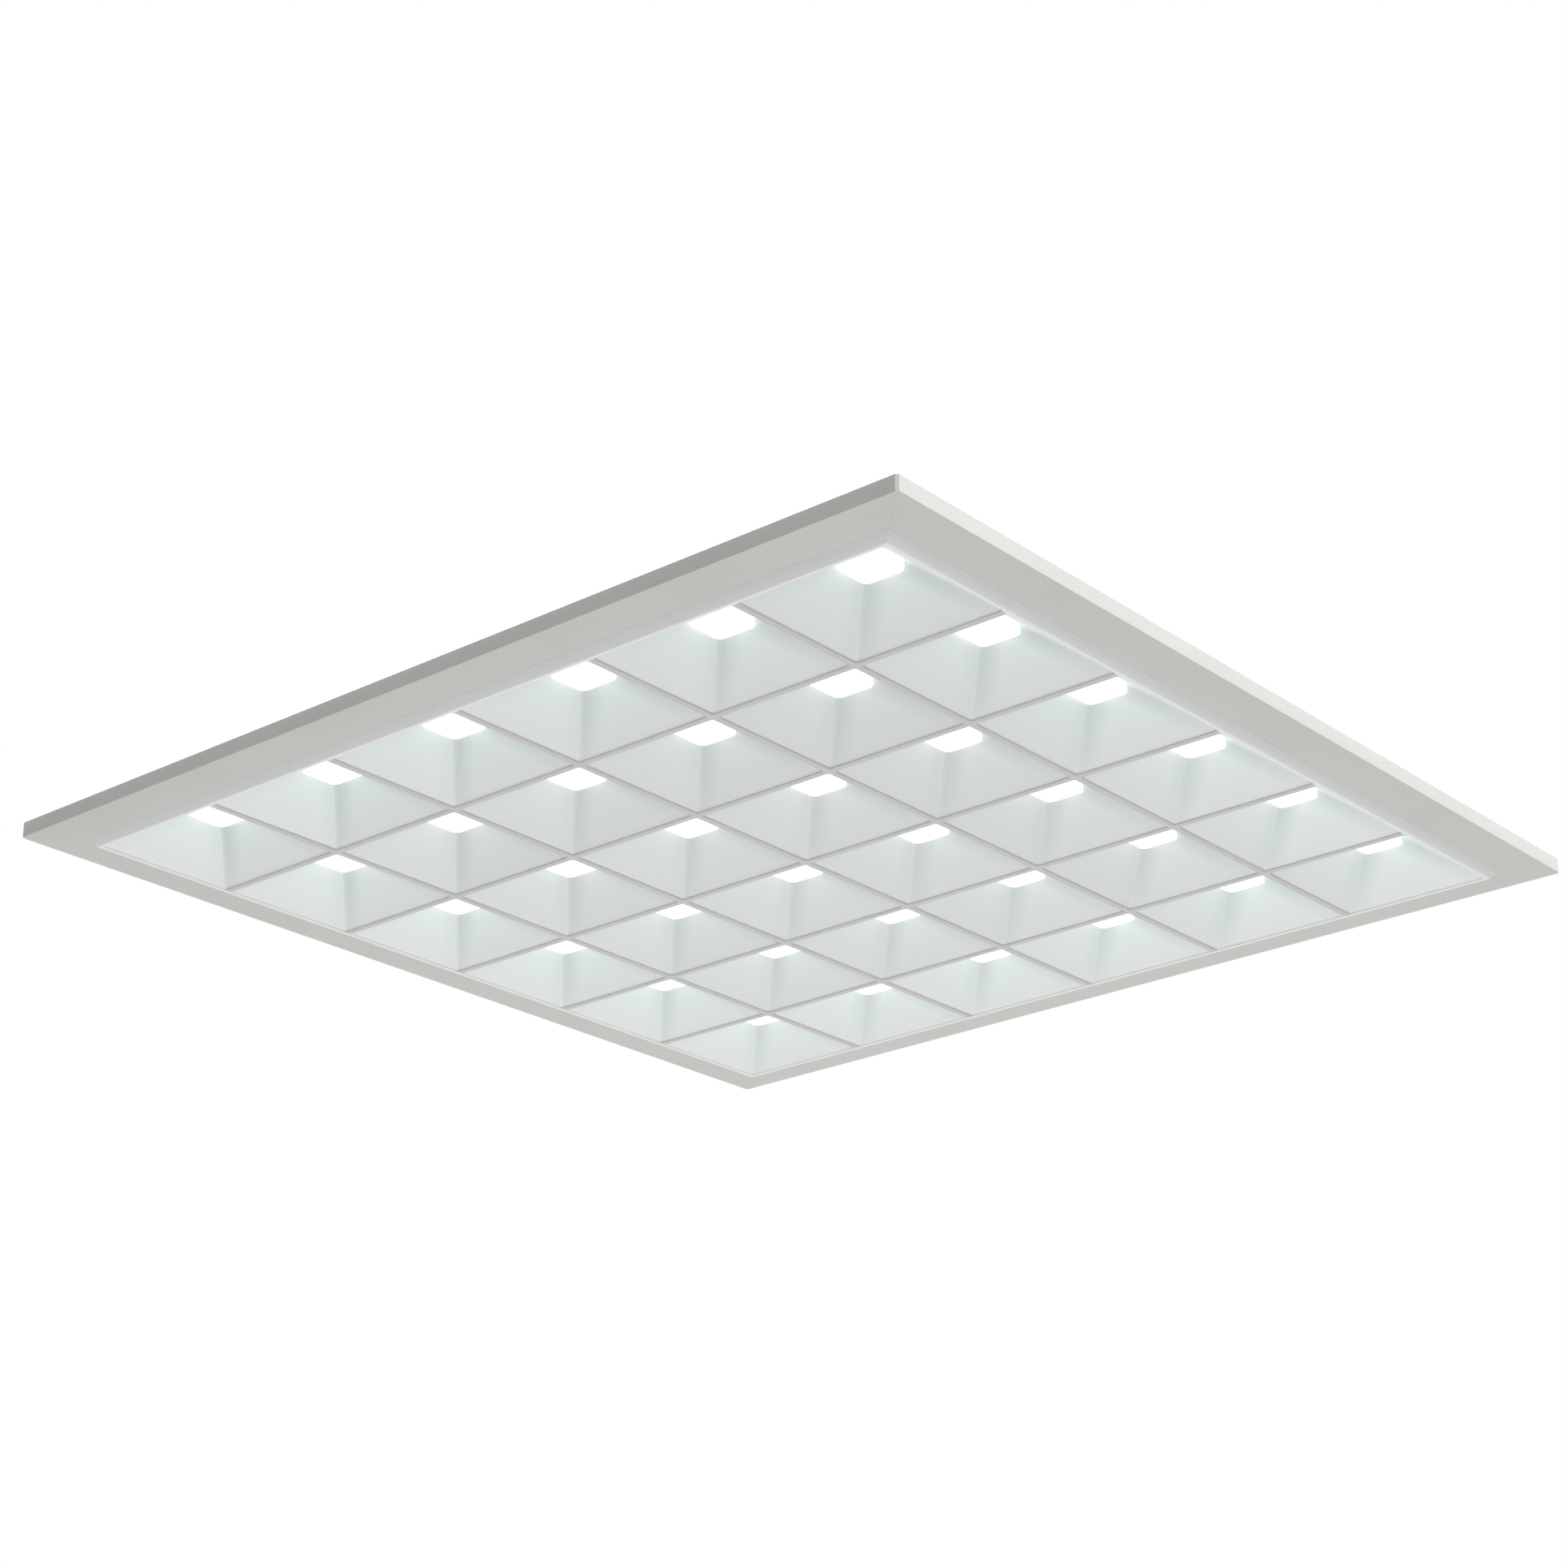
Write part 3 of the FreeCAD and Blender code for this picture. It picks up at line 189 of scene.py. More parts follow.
def square_ring(half, corner, z, roundness=1.0, arc_steps=8, side_steps=8):
    """Ring round a square: corner arcs centre + r (cos a, sin a), stretched towards the sharp corner by
    1 / max(cos a, sin a) as roundness goes from 1 to 0, and straight sides between them."""
    a = np.linspace(0, math.pi / 2, arc_steps + 1)
    reach = corner * (1 / np.maximum(np.cos(a), np.sin(a))) ** (1 - roundness)
    centre = half - corner
    arc = np.stack([centre + reach * np.cos(a), centre + reach * np.sin(a)], -1)
    t = np.linspace(0, 1, side_steps + 1)[1:-1, None]
    side = (1 - t) * arc[-1] + t * np.array([-arc[-1, 0], arc[-1, 1]])
    quarter = np.concatenate([arc, side])
    flat = np.concatenate([quarter @ turn for turn in QUARTER_TURNS])
    return np.column_stack([flat, np.full(len(flat), z)])


def plate_ring(half_x, half_y, corner, z):
    """Ring round a rectangle whose corners are quarter circles of centre (half - corner)."""
    a = np.linspace(0, math.pi / 2, 7)
    quarters = []
    for quarter, (sign_x, sign_y) in enumerate(((1, 1), (-1, 1), (-1, -1), (1, -1))):
        turn = a + quarter * math.pi / 2
        quarters.append(np.column_stack([sign_x * (half_x - corner) + corner * np.cos(turn),
                                         sign_y * (half_y - corner) + corner * np.sin(turn)]))
    flat = np.concatenate(quarters)
    return np.column_stack([flat, np.full(len(flat), z)])


def revolved(profile, x=0.0, y=0.0, steps=24):
    """Surface round the Z axis: (r cos a, r sin a, z) for each (r, z) of the profile. A radius of 0 is a pole,
    and a radius may be an array that gives one value for each of the steps round."""
    a = np.arange(steps) * 2 * math.pi / steps
    rings = [np.column_stack([radius * np.cos(a) + x, radius * np.sin(a) + y, np.full(steps, z)])
             for radius, z in profile]
    return loft(np.stack(rings))


def laid_along_x(surface, y, z):
    """A surface built along Z, laid down parallel to X: (x, y, z) becomes (z, y, -x), and then moves."""
    points, faces = surface
    return points[:, [2, 1, 0]] * np.array([1.0, 1.0, -1.0]) + np.array([0.0, y, z]), faces


def dome(radius, z, height, inner):
    """Profile of an elliptic dome from its rim in to the inner share of its radius: height
    sqrt(1 - (r / radius)^2) over z."""
    return [(radius * s, z + height * math.sqrt(1 - s * s)) for s in np.linspace(1, inner, 8)]


# ---------------------------------------------------------------- materials
NOISE_LOW, NOISE_HIGH = 0.3, 0.7    # the middle of a noise, where nearly all of it lies
PEEL = 0.02 * MM                    # depth of a coat's grain
LENS_GLOW = 0.55
CROWN_SHADE_FADE = 0.5 * MM, 1.2 * MM     # heights over a ridge's foot between which its painted shade ends
BORDER_FADE = 2.6 * MM, 2.0 * MM    # distances from the field's edge between which the painted shades end
FAINT_REACH = 14 * MM               # spread of a crease's shade on the walls that face along Y
STRONG_REACH = 15 * MM              # and on the walls that face along X
CREASE_EDGE = 1.2 * MM, 0.7 * MM    # where the two meet
INNER_PAINTED_SHADE = 0.16                   # share of the crowns' painted shade laid over the 16 inner cells, a painted shade that darkens the middle of the field
FOOT_SHADE = 0.3                    # share of a crease's shade at the foot of a wall
COOL_RISE = 8 * MM                  # height over which a wall turns cool


def linear(*levels):
    """Linear colour from display levels of 0 to 255."""
    share = np.array(levels) / 255
    flat = np.where(share <= 0.04045, share / 12.92, ((share + 0.055) / 1.055) ** 2.4)
    return (*flat.tolist(), 1.0)


def dimmed(colour, share):
    """A share of a linear colour."""
    return tuple(channel * share for channel in colour[:3]) + (1.0,)


class Finish:
    """A material under construction: its nodes, its shader and the piece's own coordinates."""

    def __init__(self, name, colour, roughness, metallic=0.0):
        self.material = bpy.data.materials.new(name)
        self.material.use_nodes = True
        self.nodes = self.material.node_tree.nodes
        self.links = self.material.node_tree.links
        self.shader = self.nodes["Principled BSDF"]
        self.shader.inputs["Base Color"].default_value = colour
        self.shader.inputs["Roughness"].default_value = roughness
        self.shader.inputs["Metallic"].default_value = metallic
        self.place = self.nodes.new("ShaderNodeTexCoord").outputs["Object"]

    def node(self, kind, settings=None, **inputs):
        """A node whose inputs are values or other nodes' outputs; i0, i1 and so on are inputs by number."""
        made = self.nodes.new("ShaderNode" + kind)
        for name, value in (settings or {}).items():
            setattr(made, name, value)
        for name, value in inputs.items():
            socket = made.inputs[int(name[1:])] if name[0] == "i" and name[1:].isdigit() else made.inputs[name]
            if isinstance(value, bpy.types.NodeSocket):
                self.links.new(value, socket)
            else:
                socket.default_value = value
        return made

    def stretched(self, x, y, z):
        """The piece's coordinates, stretched so that a pattern runs along one axis."""
        return self.node("Mapping", Vector=self.place, Scale=(x, y, z)).outputs["Vector"]

    def noise(self, scale, detail, vector=None):
        """Noise between 0 and 1 with that many features a metre."""
        return self.node("TexNoise", Vector=vector or self.place, Scale=scale, Detail=detail).outputs["Fac"]

    def ramp(self, value, low, high, start, end):
        """A value mapped from low..high to start..end."""
        return self.node("MapRange", Value=value, **{"From Min": low, "From Max": high, "To Min": start,
                                                     "To Max": end}).outputs["Result"]

    def uneven(self, scale, detail, start=0.0, end=1.0, vector=None):
        """Noise mapped to start..end."""
        return self.ramp(self.noise(scale, detail, vector), NOISE_LOW, NOISE_HIGH, start, end)

    def blend(self, share, first, second):
        """A colour between two others."""
        mix = self.nodes.new("ShaderNodeMix")
        mix.data_type = "RGBA"
        for socket, value in ((mix.inputs[0], share), (mix.inputs[6], first), (mix.inputs[7], second)):
            if isinstance(value, bpy.types.NodeSocket):
                self.links.new(value, socket)
            else:
                socket.default_value = value
        return mix.outputs[2]

    def reckon(self, operation, *values):
        """The result of one operation on values or on the outputs of other nodes."""
        inputs = {f"i{k}": value for k, value in enumerate(values)}
        return self.node("Math", {"operation": operation}, **inputs).outputs[0]

    def bump(self, height, depth, strength):
        """Relief of that depth in metres."""
        relief = self.node("Bump", Height=height, Distance=depth, Strength=strength)
        self.links.new(relief.outputs["Normal"], self.shader.inputs["Normal"])

    def drive(self, socket, value):
        """Feeds a shader input from a node."""
        self.links.new(value, self.shader.inputs[socket])


def frame_paint():
    """Satin powder coat of the frame: fine orange peel, faint clouds of tone, uneven gloss."""
    pale, darker = linear(214, 213, 210), linear(210, 209, 206)
    finish = Finish("satin_frame_paint", pale, 0.42)
    finish.drive("Base Color", finish.blend(finish.uneven(14, 2), pale, darker))
    finish.drive("Roughness", finish.uneven(60, 3, 0.37, 0.48))
    finish.bump(finish.noise(1400, 2), PEEL, 0.6)
    return finish.material


def louvre_plastic_and_painted_shade():
    """Matt white moulding with a faint grain, cool in its cells, and painted shade: greyer on the crowns of the
    ridges between them, a little greyer in the inner cells, and greyer towards the creases of a cell, where
    |x| = |y| from its middle, mostly on the two walls that face along X."""
    white, cool = linear(247, 248, 247), linear(243, 250, 250)
    # Painted shade: the first grey darkens the ridges' crowns and the inner cells, the second the creases of
    # each cell.
    crown, painted_crease_shade = linear(211, 211, 210), linear(214, 222, 222)
    finish = Finish("matt_louvre_plastic_and_painted_shade", white, 0.5)
    place = finish.node("SeparateXYZ", Vector=finish.place).outputs
    in_cell = [finish.reckon("SUBTRACT", finish.reckon("WRAP", place[axis], PITCH, 0.0), PITCH / 2)
               for axis in ("X", "Y")]
    apart = finish.reckon("SUBTRACT", *[finish.reckon("ABSOLUTE", offset) for offset in in_cell])
    reach = finish.reckon("MAXIMUM", *[finish.reckon("ABSOLUTE", place[axis]) for axis in ("X", "Y")])
    # the painted shades fade out at the field's border
    inside = finish.ramp(reach, FIELD_HALF - BORDER_FADE[0], FIELD_HALF - BORDER_FADE[1], 1, 0)
    # painted shade that makes the 16 inner cells a little darker than those round the border
    inner_painted_shade = finish.ramp(reach, 2 * PITCH - MM, 2 * PITCH + MM, INNER_PAINTED_SHADE, 0)
    # painted shade on the crowns of the ridges
    painted_crown_shade_mask = finish.ramp(place["Z"], RIDGE_Z + CROWN_SHADE_FADE[0], RIDGE_Z + CROWN_SHADE_FADE[1], 1, 0)
    # painted shade in the creases of each cell, strongest on the walls that face along X and weakest at a
    # wall's foot
    faint_side = finish.ramp(apart, -FAINT_REACH, 0, 0, 0.5)
    crease_edge = finish.ramp(apart, -CREASE_EDGE[0], -CREASE_EDGE[1], 0, 1)
    strong_side = finish.ramp(apart, 2 * MM, STRONG_REACH, 1, 0)
    painted_crease_shade_mask = finish.reckon("MINIMUM", finish.reckon("MAXIMUM", faint_side, crease_edge), strong_side)
    up_the_wall = finish.ramp(place["Z"], RIDGE_Z + MM, CROWN_Z, FOOT_SHADE, 1)
    painted_crease_shade_mask = finish.reckon("MULTIPLY", painted_crease_shade_mask, up_the_wall)
    tone = finish.blend(finish.ramp(place["Z"], RIDGE_Z, RIDGE_Z + COOL_RISE, 0, 1), white, cool)
    # lays the painted crease shade, then the painted shade of the inner cells and of the crowns, over the
    # plastic's own tone
    tone = finish.blend(finish.reckon("MULTIPLY", painted_crease_shade_mask, inside), tone, painted_crease_shade)
    tone = finish.blend(inner_painted_shade, tone, crown)
    tone = finish.blend(finish.reckon("MULTIPLY", painted_crown_shade_mask, inside), tone, crown)
    finish.drive("Base Color", tone)
    finish.drive("Roughness", finish.uneven(90, 2, 0.46, 0.56))
    finish.bump(finish.noise(2200, 2), PEEL / 2, 0.5)
    return finish.material


def lit_lens():
    """Opal lens, lit evenly from behind."""
    finish = Finish("lit_opal_lens", linear(250, 252, 252), 0.35)
    finish.shader.inputs["Emission Color"].default_value = linear(252, 255, 255)
    finish.shader.inputs["Emission Strength"].default_value = LENS_GLOW
    finish.bump(finish.noise(900, 1), PEEL, 0.4)
    return finish.material


def plain_finish(name, colour, darker, roughness, metallic=0.0, grain=600):
    """Simple finish with faint clouds of tone and a fine grain."""
    finish = Finish(name, colour, roughness, metallic)
    finish.drive("Base Color", finish.blend(finish.uneven(40, 3), colour, darker))
    finish.drive("Roughness", finish.uneven(110, 2, roughness - 0.04, roughness + 0.05))
    finish.bump(finish.noise(grain, 2), PEEL, 0.5)
    return finish.material


def shared(make):
    """Makes a material once and gives the same one each time it is asked for."""
    made = []

    def material():
        if not made:
            made.append(make())
        return made[0]
    return material


@shared
def coated_steel():
    """Coil-coated sheet of the back: satin white with a faint rolling grain."""
    finish = Finish("coil_coated_steel", linear(204, 205, 204), 0.52)
    streaks = finish.uneven(30, 3, vector=finish.stretched(0.08, 1, 1))
    finish.drive("Base Color", finish.blend(streaks, linear(205, 206, 205), linear(200, 201, 200)))
    finish.drive("Roughness", finish.uneven(50, 2, 0.48, 0.58))
    finish.bump(finish.noise(900, 2), PEEL, 0.5)
    return finish.material


def galvanised_steel(name, colour):
    """Hot-dip galvanised sheet: crystals of slightly different tone and gloss."""
    finish = Finish(name, colour, 0.55, 0.9)
    crystals = finish.node("TexVoronoi", Vector=finish.place, Scale=95.0).outputs["Color"]
    tone = finish.node("SeparateColor", Color=crystals).outputs[0]
    finish.drive("Base Color", finish.blend(tone, dimmed(colour, 0.82), colour))
    finish.drive("Roughness", finish.ramp(tone, 0, 1, 0.5, 0.64))
    finish.bump(finish.noise(700, 2), PEEL / 2, 0.5)
    return finish.material


@shared
def gear_steel():
    """Galvanised sheet of the gear box."""
    return galvanised_steel("galvanised_gear_steel", linear(178, 181, 183))


@shared
def zinc_plate():
    """Bright zinc plate of the screws, inserts and corner keys."""
    return plain_finish("zinc_plate", linear(184, 188, 192), linear(166, 170, 176), 0.34, 1.0)


@shared
def bare_aluminium():
    """Aluminium of the rivets."""
    return plain_finish("bare_aluminium", linear(198, 200, 202), linear(184, 186, 189), 0.36, 1.0)


@shared
def plain_brass():
    """Brass of the earth screw."""
    return plain_finish("plain_brass", linear(202, 170, 96), linear(184, 150, 80), 0.3, 1.0)


@shared
def grey_nylon():
    """Moulded nylon of the gland."""
    return plain_finish("grey_nylon", linear(128, 131, 134), linear(118, 121, 124), 0.45, grain=1600)


@shared
def white_nylon():
    """Moulded nylon of the terminals and connectors."""
    return plain_finish("white_nylon", linear(226, 225, 219), linear(220, 219, 213), 0.45, grain=1600)


@shared
def orange_nylon():
    """Moulded nylon of the release buttons."""
    return plain_finish("orange_nylon", linear(226, 120, 38), linear(214, 110, 32), 0.4, grain=1600)


@shared
def driver_case():
    """Moulded case of the driver."""
    return plain_finish("driver_case", linear(222, 223, 220), linear(216, 217, 214), 0.48, grain=1400)


def insulation(name, colour):
    """Smooth soft insulation of a lead."""
    return plain_finish(name, colour, dimmed(colour, 0.86), 0.42, grain=900)


# ---------------------------------------------------------------- frame
def frame_rails():
    """Four mitred rails. Profile (inset, height); along the rail a point at inset d runs straight to the flat
    that cuts the corner, and along it to the mitre, where x = half - (cut + d) / 2."""
    profile = rounded_outline([(0, 0), (0, RIM_HEIGHT), (SHELF_INSET, RIM_HEIGHT), (SHELF_INSET, RAIL_WALL),
                               (HALF - OPENING_HALF, RAIL_WALL), (HALF - OPENING_HALF, 0)], RAIL_EDGE)
    inset, height = profile[:, 0], profile[:, 1]
    cut = np.maximum(inset, CORNER_CUT)
    end_x = np.stack([HALF - cut, HALF - (cut + inset) / 2]) - MITRE_GAP
    end_y = np.stack([inset - HALF, (cut + inset) / 2 - HALF])
    along = np.concatenate([-end_x[::-1], end_x])
    across = np.concatenate([end_y[::-1], end_y])
    rail = capped(np.stack([along, across, np.broadcast_to(height, along.shape)], -1))
    paint = frame_paint()
    for k, side in enumerate(("front", "right", "back", "left")):
        put(f"frame_{side}", [turned(rail, 90 * k)], paint, [f"frame_rail_{side}"])


# ---------------------------------------------------------------- louvre
STEP_HEIGHT = 1.0 * MM              # upright foot of a cell's wall
LOUVRE_BACK_Z = RIDGE_Z + 2.3 * MM  # back of the moulding over the ridges
CELL_CORNER = 1.2 * MM
LIP_TOP_Z = 3.0 * MM


def cell_rows():
    """Profile of one cell from the middle of its ridge, up the wall to the window and back down outside:
    (half width, height, corner radius, roundness)."""
    pitch_half = PITCH / 2
    soft = CELL_CORNER
    rows = [(pitch_half, RIDGE_Z, soft + RIDGE_HALF, 0.0),
            (MOUTH_HALF + 0.45 * MM, RIDGE_Z, soft, 1.0),
            (MOUTH_HALF + 0.13 * MM, RIDGE_Z + 0.12 * MM, soft, 1.0),
            (MOUTH_HALF, RIDGE_Z + 0.45 * MM, soft, 1.0),
            (MOUTH_HALF, RIDGE_Z + STEP_HEIGHT, soft, 1.0)]
    wall_foot = (MOUTH_HALF - 0.15 * MM, RIDGE_Z + STEP_HEIGHT + 0.1 * MM)
    wall_top = (WINDOW_HALF + 0.25 * MM, CROWN_Z - 1.9 * MM)
    for t in np.linspace(0, 1, 11):
        half, z = (foot + t * (top - foot) for foot, top in zip(wall_foot, wall_top))
        rows.append((half, z, soft + t * (WINDOW_CORNER - soft), 1.0))
    rows += [(WINDOW_HALF + 0.05 * MM, CROWN_Z - 1.6 * MM, WINDOW_CORNER, 1.0),
             (WINDOW_HALF, CROWN_Z - 1.2 * MM, WINDOW_CORNER, 1.0),
             (WINDOW_HALF, CROWN_Z, WINDOW_CORNER, 1.0),
             (WINDOW_HALF + 2.0 * MM, CROWN_Z, WINDOW_CORNER, 1.0),
             (MOUTH_HALF + 0.9 * MM, LOUVRE_BACK_Z - 0.3 * MM, soft, 1.0),
             (pitch_half, LOUVRE_BACK_Z, soft + RIDGE_HALF, 0.0)]
    return rows


def louvre():
    """All cells, lofted from rounded-square rings, and the border that slopes up to the frame and lies on its
    shelf: the border's ring at distance a from the middle is the edge of the field scaled by a / field half."""
    rings = np.stack([square_ring(half, corner, z, roundness) for half, z, corner, roundness in cell_rows()])
    cell = loft(rings)
    surfaces = [moved(cell, x, y) for y in ROWS for x in ROWS]
    edge = rings[0]
    on_side = edge[np.isclose(edge[:, 0], PITCH / 2)][:, 1]
    along = np.unique(np.round(np.concatenate([on_side + y for y in ROWS]), 9))
    side = np.column_stack([np.full(len(along), FIELD_HALF), along])
    perimeter = np.concatenate([side @ turn for turn in QUARTER_TURNS])
    shelf_z = RAIL_WALL + 0.1 * MM
    bevel = [(FIELD_HALF, RIDGE_Z), (FIELD_HALF + 0.25 * MM, RIDGE_Z + 0.08 * MM),
             (FIELD_HALF + 0.5 * MM, RIDGE_Z + 0.35 * MM), (BEVEL_HALF - 0.1 * MM, -0.12 * MM),
             (BEVEL_HALF, 0.1 * MM), (BEVEL_HALF, shelf_z), (LIP_HALF, shelf_z), (LIP_HALF, LIP_TOP_Z),
             (SKIRT_HALF - 1.5 * MM, LIP_TOP_Z), (FIELD_HALF, LOUVRE_BACK_Z)]
    border = np.stack([np.column_stack([perimeter * (a / FIELD_HALF), np.full(len(perimeter), z)])
                       for a, z in bevel])
    surfaces.append(loft(border))
    put("louvre_moulding", surfaces, louvre_plastic_and_painted_shade(), ["louvre"], sharp=28)


# ---------------------------------------------------------------- lenses
def lens_rows():
    """A strip for each row of cells: a flat plate, and in each window a rounded-square block with a soft rim
    and a face that hangs lowest in its middle: z = foot + crown (h / face)^2."""
    half = WINDOW_HALF - LENS_GAP
    corner = WINDOW_CORNER - LENS_GAP
    rim, crown = 0.7 * MM, 0.3 * MM
    root_z = CROWN_Z + 0.4 * MM
    rows = [(0.0, root_z, 0.0), (half, root_z, corner)]
    for t in np.linspace(0, math.pi / 2, 6):
        rows.append((half - rim * (1 - math.cos(t)), LENS_FOOT_Z + crown + rim * (1 - math.sin(t)), corner))
    face, face_corner = half - rim, corner - rim * 0.4
    rows += [(face * s, LENS_FOOT_Z + crown * s ** 2, face_corner * s) for s in np.linspace(1, 0, 7)[1:]]
    block = loft(np.stack([square_ring(h, c, z) for h, z, c in rows]))
    plate_y = (LENS_HIGH.y - LENS_LOW.y) / 2
    outline = rounded_outline([(LENS_LOW.x, -plate_y), (LENS_HIGH.x, -plate_y), (LENS_HIGH.x, plate_y),
                               (LENS_LOW.x, plate_y)], 2 * MM)
    levels = [(0.0, CROWN_Z), (1.0, CROWN_Z), (1.0, LENS_TOP_Z), (0.0, LENS_TOP_Z)]
    plate = loft(np.stack([np.column_stack([outline * share, np.full(len(outline), z)])
                           for share, z in levels]))
    glow = lit_lens()
    for number, y in enumerate(ROWS, start=1):
        surfaces = [moved(plate, 0, y)] + [moved(block, x, y) for x in ROWS]
        put(f"lens_strip_{number}", surfaces, glow, [f"lens_row_{number}"], sharp=50)


# ---------------------------------------------------------------- back pan
SHEET = 0.8 * MM
_, PAN_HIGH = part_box("back_pan")
PAN_EDGE = PAN_HIGH.y
BEAD_HEIGHT = 2.2 * MM
BEAD_HALF_WIDTH = 7 * MM
BEAD_CORNER = 6 * MM
BEAD_RUN = 1.8 * MM
SUNK = 0.02 * MM            # how far a bead's foot is sunk into the flat
PAN_TOP_Z = PAN_HIGH.z - BEAD_HEIGHT
PAN_FOOT_HALF = PAN_EDGE - 17.0 * MM
PAN_TOP_HALF = PAN_FOOT_HALF - 17.0 * MM
PAN_CORNER = 10.0 * MM
FLANGE_TOP = RIM_HEIGHT + SHEET
FLANGE_END = HALF - 48.0 * MM
INSERT_BARREL = 3.5 * MM
INSERT_ROW = 2 * PITCH
BEADS = ((1, 198.5 * MM), (2, 145.2 * MM))  # row, half length


def flat_quarter(ring):
    """A quarter of the flat back round the hole of its insert: each point of its outline is joined to the
    point of the hole that lies on the way to the hole's middle. The outline runs from the middle of one side,
    round the corner's seven points, to the middle of the next side, and back over the centre of the pan."""
    outline = np.vstack([ring[-1:], ring[:8], [[0, 0, ring[0, 2]]]])
    middle = np.array([INSERT_ROW, INSERT_ROW, ring[0, 2]])
    away = outline - middle
    hole = middle + INSERT_BARREL * away / np.linalg.norm(away, axis=1)[:, None]
    return loft(np.stack([outline, hole]))


def pan_shell():
    """Sloping sides and flat back, through rings (half, height) inside and then, one sheet away, outside, where
    the bend is p = (1-t)^2 a + 2t(1-t) corner + t^2 b."""
    slope = (PAN_FOOT_HALF - PAN_TOP_HALF) / (PAN_TOP_Z - RIM_HEIGHT)
    thick = SHEET * math.sqrt(1 + slope ** 2)
    bend_rise, bend_run = 1.6 * MM, 2 * MM
    bend_z = PAN_TOP_Z - bend_rise
    bend_half = PAN_FOOT_HALF - slope * (bend_z - RIM_HEIGHT)
    rows = [(PAN_FOOT_HALF, RIM_HEIGHT), (bend_half, bend_z)]
    for t in np.linspace(0.2, 1, 5):
        start, middle, end = (1 - t) ** 2, 2 * t * (1 - t), t ** 2
        rows.append((start * bend_half + middle * PAN_TOP_HALF + end * (PAN_TOP_HALF - bend_run),
                     start * bend_z + (middle + end) * PAN_TOP_Z))
    inner = [(PAN_TOP_HALF - thick, PAN_TOP_Z - SHEET)] + [(half - thick, z) for half, z in reversed(rows[:2])]
    outside = [square_ring(half, PAN_CORNER, z, 1.0, 6, 2) for half, z in rows]
    inside = [square_ring(half, PAN_CORNER - SHEET, z, 1.0, 6, 2) for half, z in inner]
    flats = [turned(flat_quarter(ring), 90 * k) for ring in (outside[-1], inside[0]) for k in range(4)]
    return [loft(np.stack(inside + outside))] + flats


def pan_flange():
    """Flange along one side, with a small concave bend up to the slope."""
    foot = PAN_FOOT_HALF
    profile = [(PAN_EDGE, RIM_HEIGHT), (PAN_EDGE, FLANGE_TOP - 0.1 * MM), (PAN_EDGE - 0.1 * MM, FLANGE_TOP),
               (foot + 0.9 * MM, FLANGE_TOP), (foot - 0.1 * MM, FLANGE_TOP + 0.1 * MM),
               (foot - 1.0 * MM, FLANGE_TOP + 0.45 * MM), (foot - 1.8 * MM, FLANGE_TOP + 1.0 * MM),
               (foot - 2.2 * MM, FLANGE_TOP + 0.6 * MM), (foot - 1.2 * MM, RIM_HEIGHT)]
    out, height = np.array(profile).T
    return capped(np.stack([np.column_stack([np.full(len(out), x), -out, height])
                            for x in (-FLANGE_END, FLANGE_END)]))


def pan_bead(row, half_length):
    """Pressed bead: its side rises by height (3 t^2 - 2 t^3) over its run."""
    rings = []
    for t in np.linspace(0, 1, 8):
        inset = BEAD_RUN * t
        rise = (BEAD_HEIGHT + SUNK) * (3 * t ** 2 - 2 * t ** 3)
        rings.append(plate_ring(half_length - inset, BEAD_HALF_WIDTH - inset, BEAD_CORNER - inset * 0.8,
                                PAN_TOP_Z - SUNK + rise))
    return moved(capped(np.stack(rings)), 0, row * PITCH)


def back_pan(paint):
    """The pan with its flanges and beads."""
    surfaces = pan_shell() + [turned(pan_flange(), 90 * k) for k in range(4)]
    surfaces += [pan_bead(sign * row, half) for row, half in BEADS for sign in (-1, 1)]
    put("back_pan_sheet", surfaces, paint, ["back_pan"], sharp=32)


# ---------------------------------------------------------------- fasteners
SCREW_HEAD = 2.8 * MM
SCREW_HEIGHT = 1.8 * MM
SCREW_SHANK = 1.5 * MM
SCREW_LENGTH = 5.0 * MM
SLOT_HALF = 0.42 * MM
SLOT_EDGE = 0.14 * MM       # over which a slot's wall slopes
SLOT_DEPTH = 1.1 * MM
CROSS_REACH = 0.62          # of the head's radius
CROSS_EDGE = 0.08
HEAD_RIM = 0.4              # share of a head's height that stands upright
INSERT_LENGTH = 9.0 * MM
RIVET_COLUMN = 2 * PITCH
_, TRAY_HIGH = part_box("gear_tray")
TRAY_FLOOR_Z = PAN_TOP_Z + SHEET
EAR_WIDTH = 12.0 * MM
GEAR_X = TRAY_HIGH.x - EAR_WIDTH


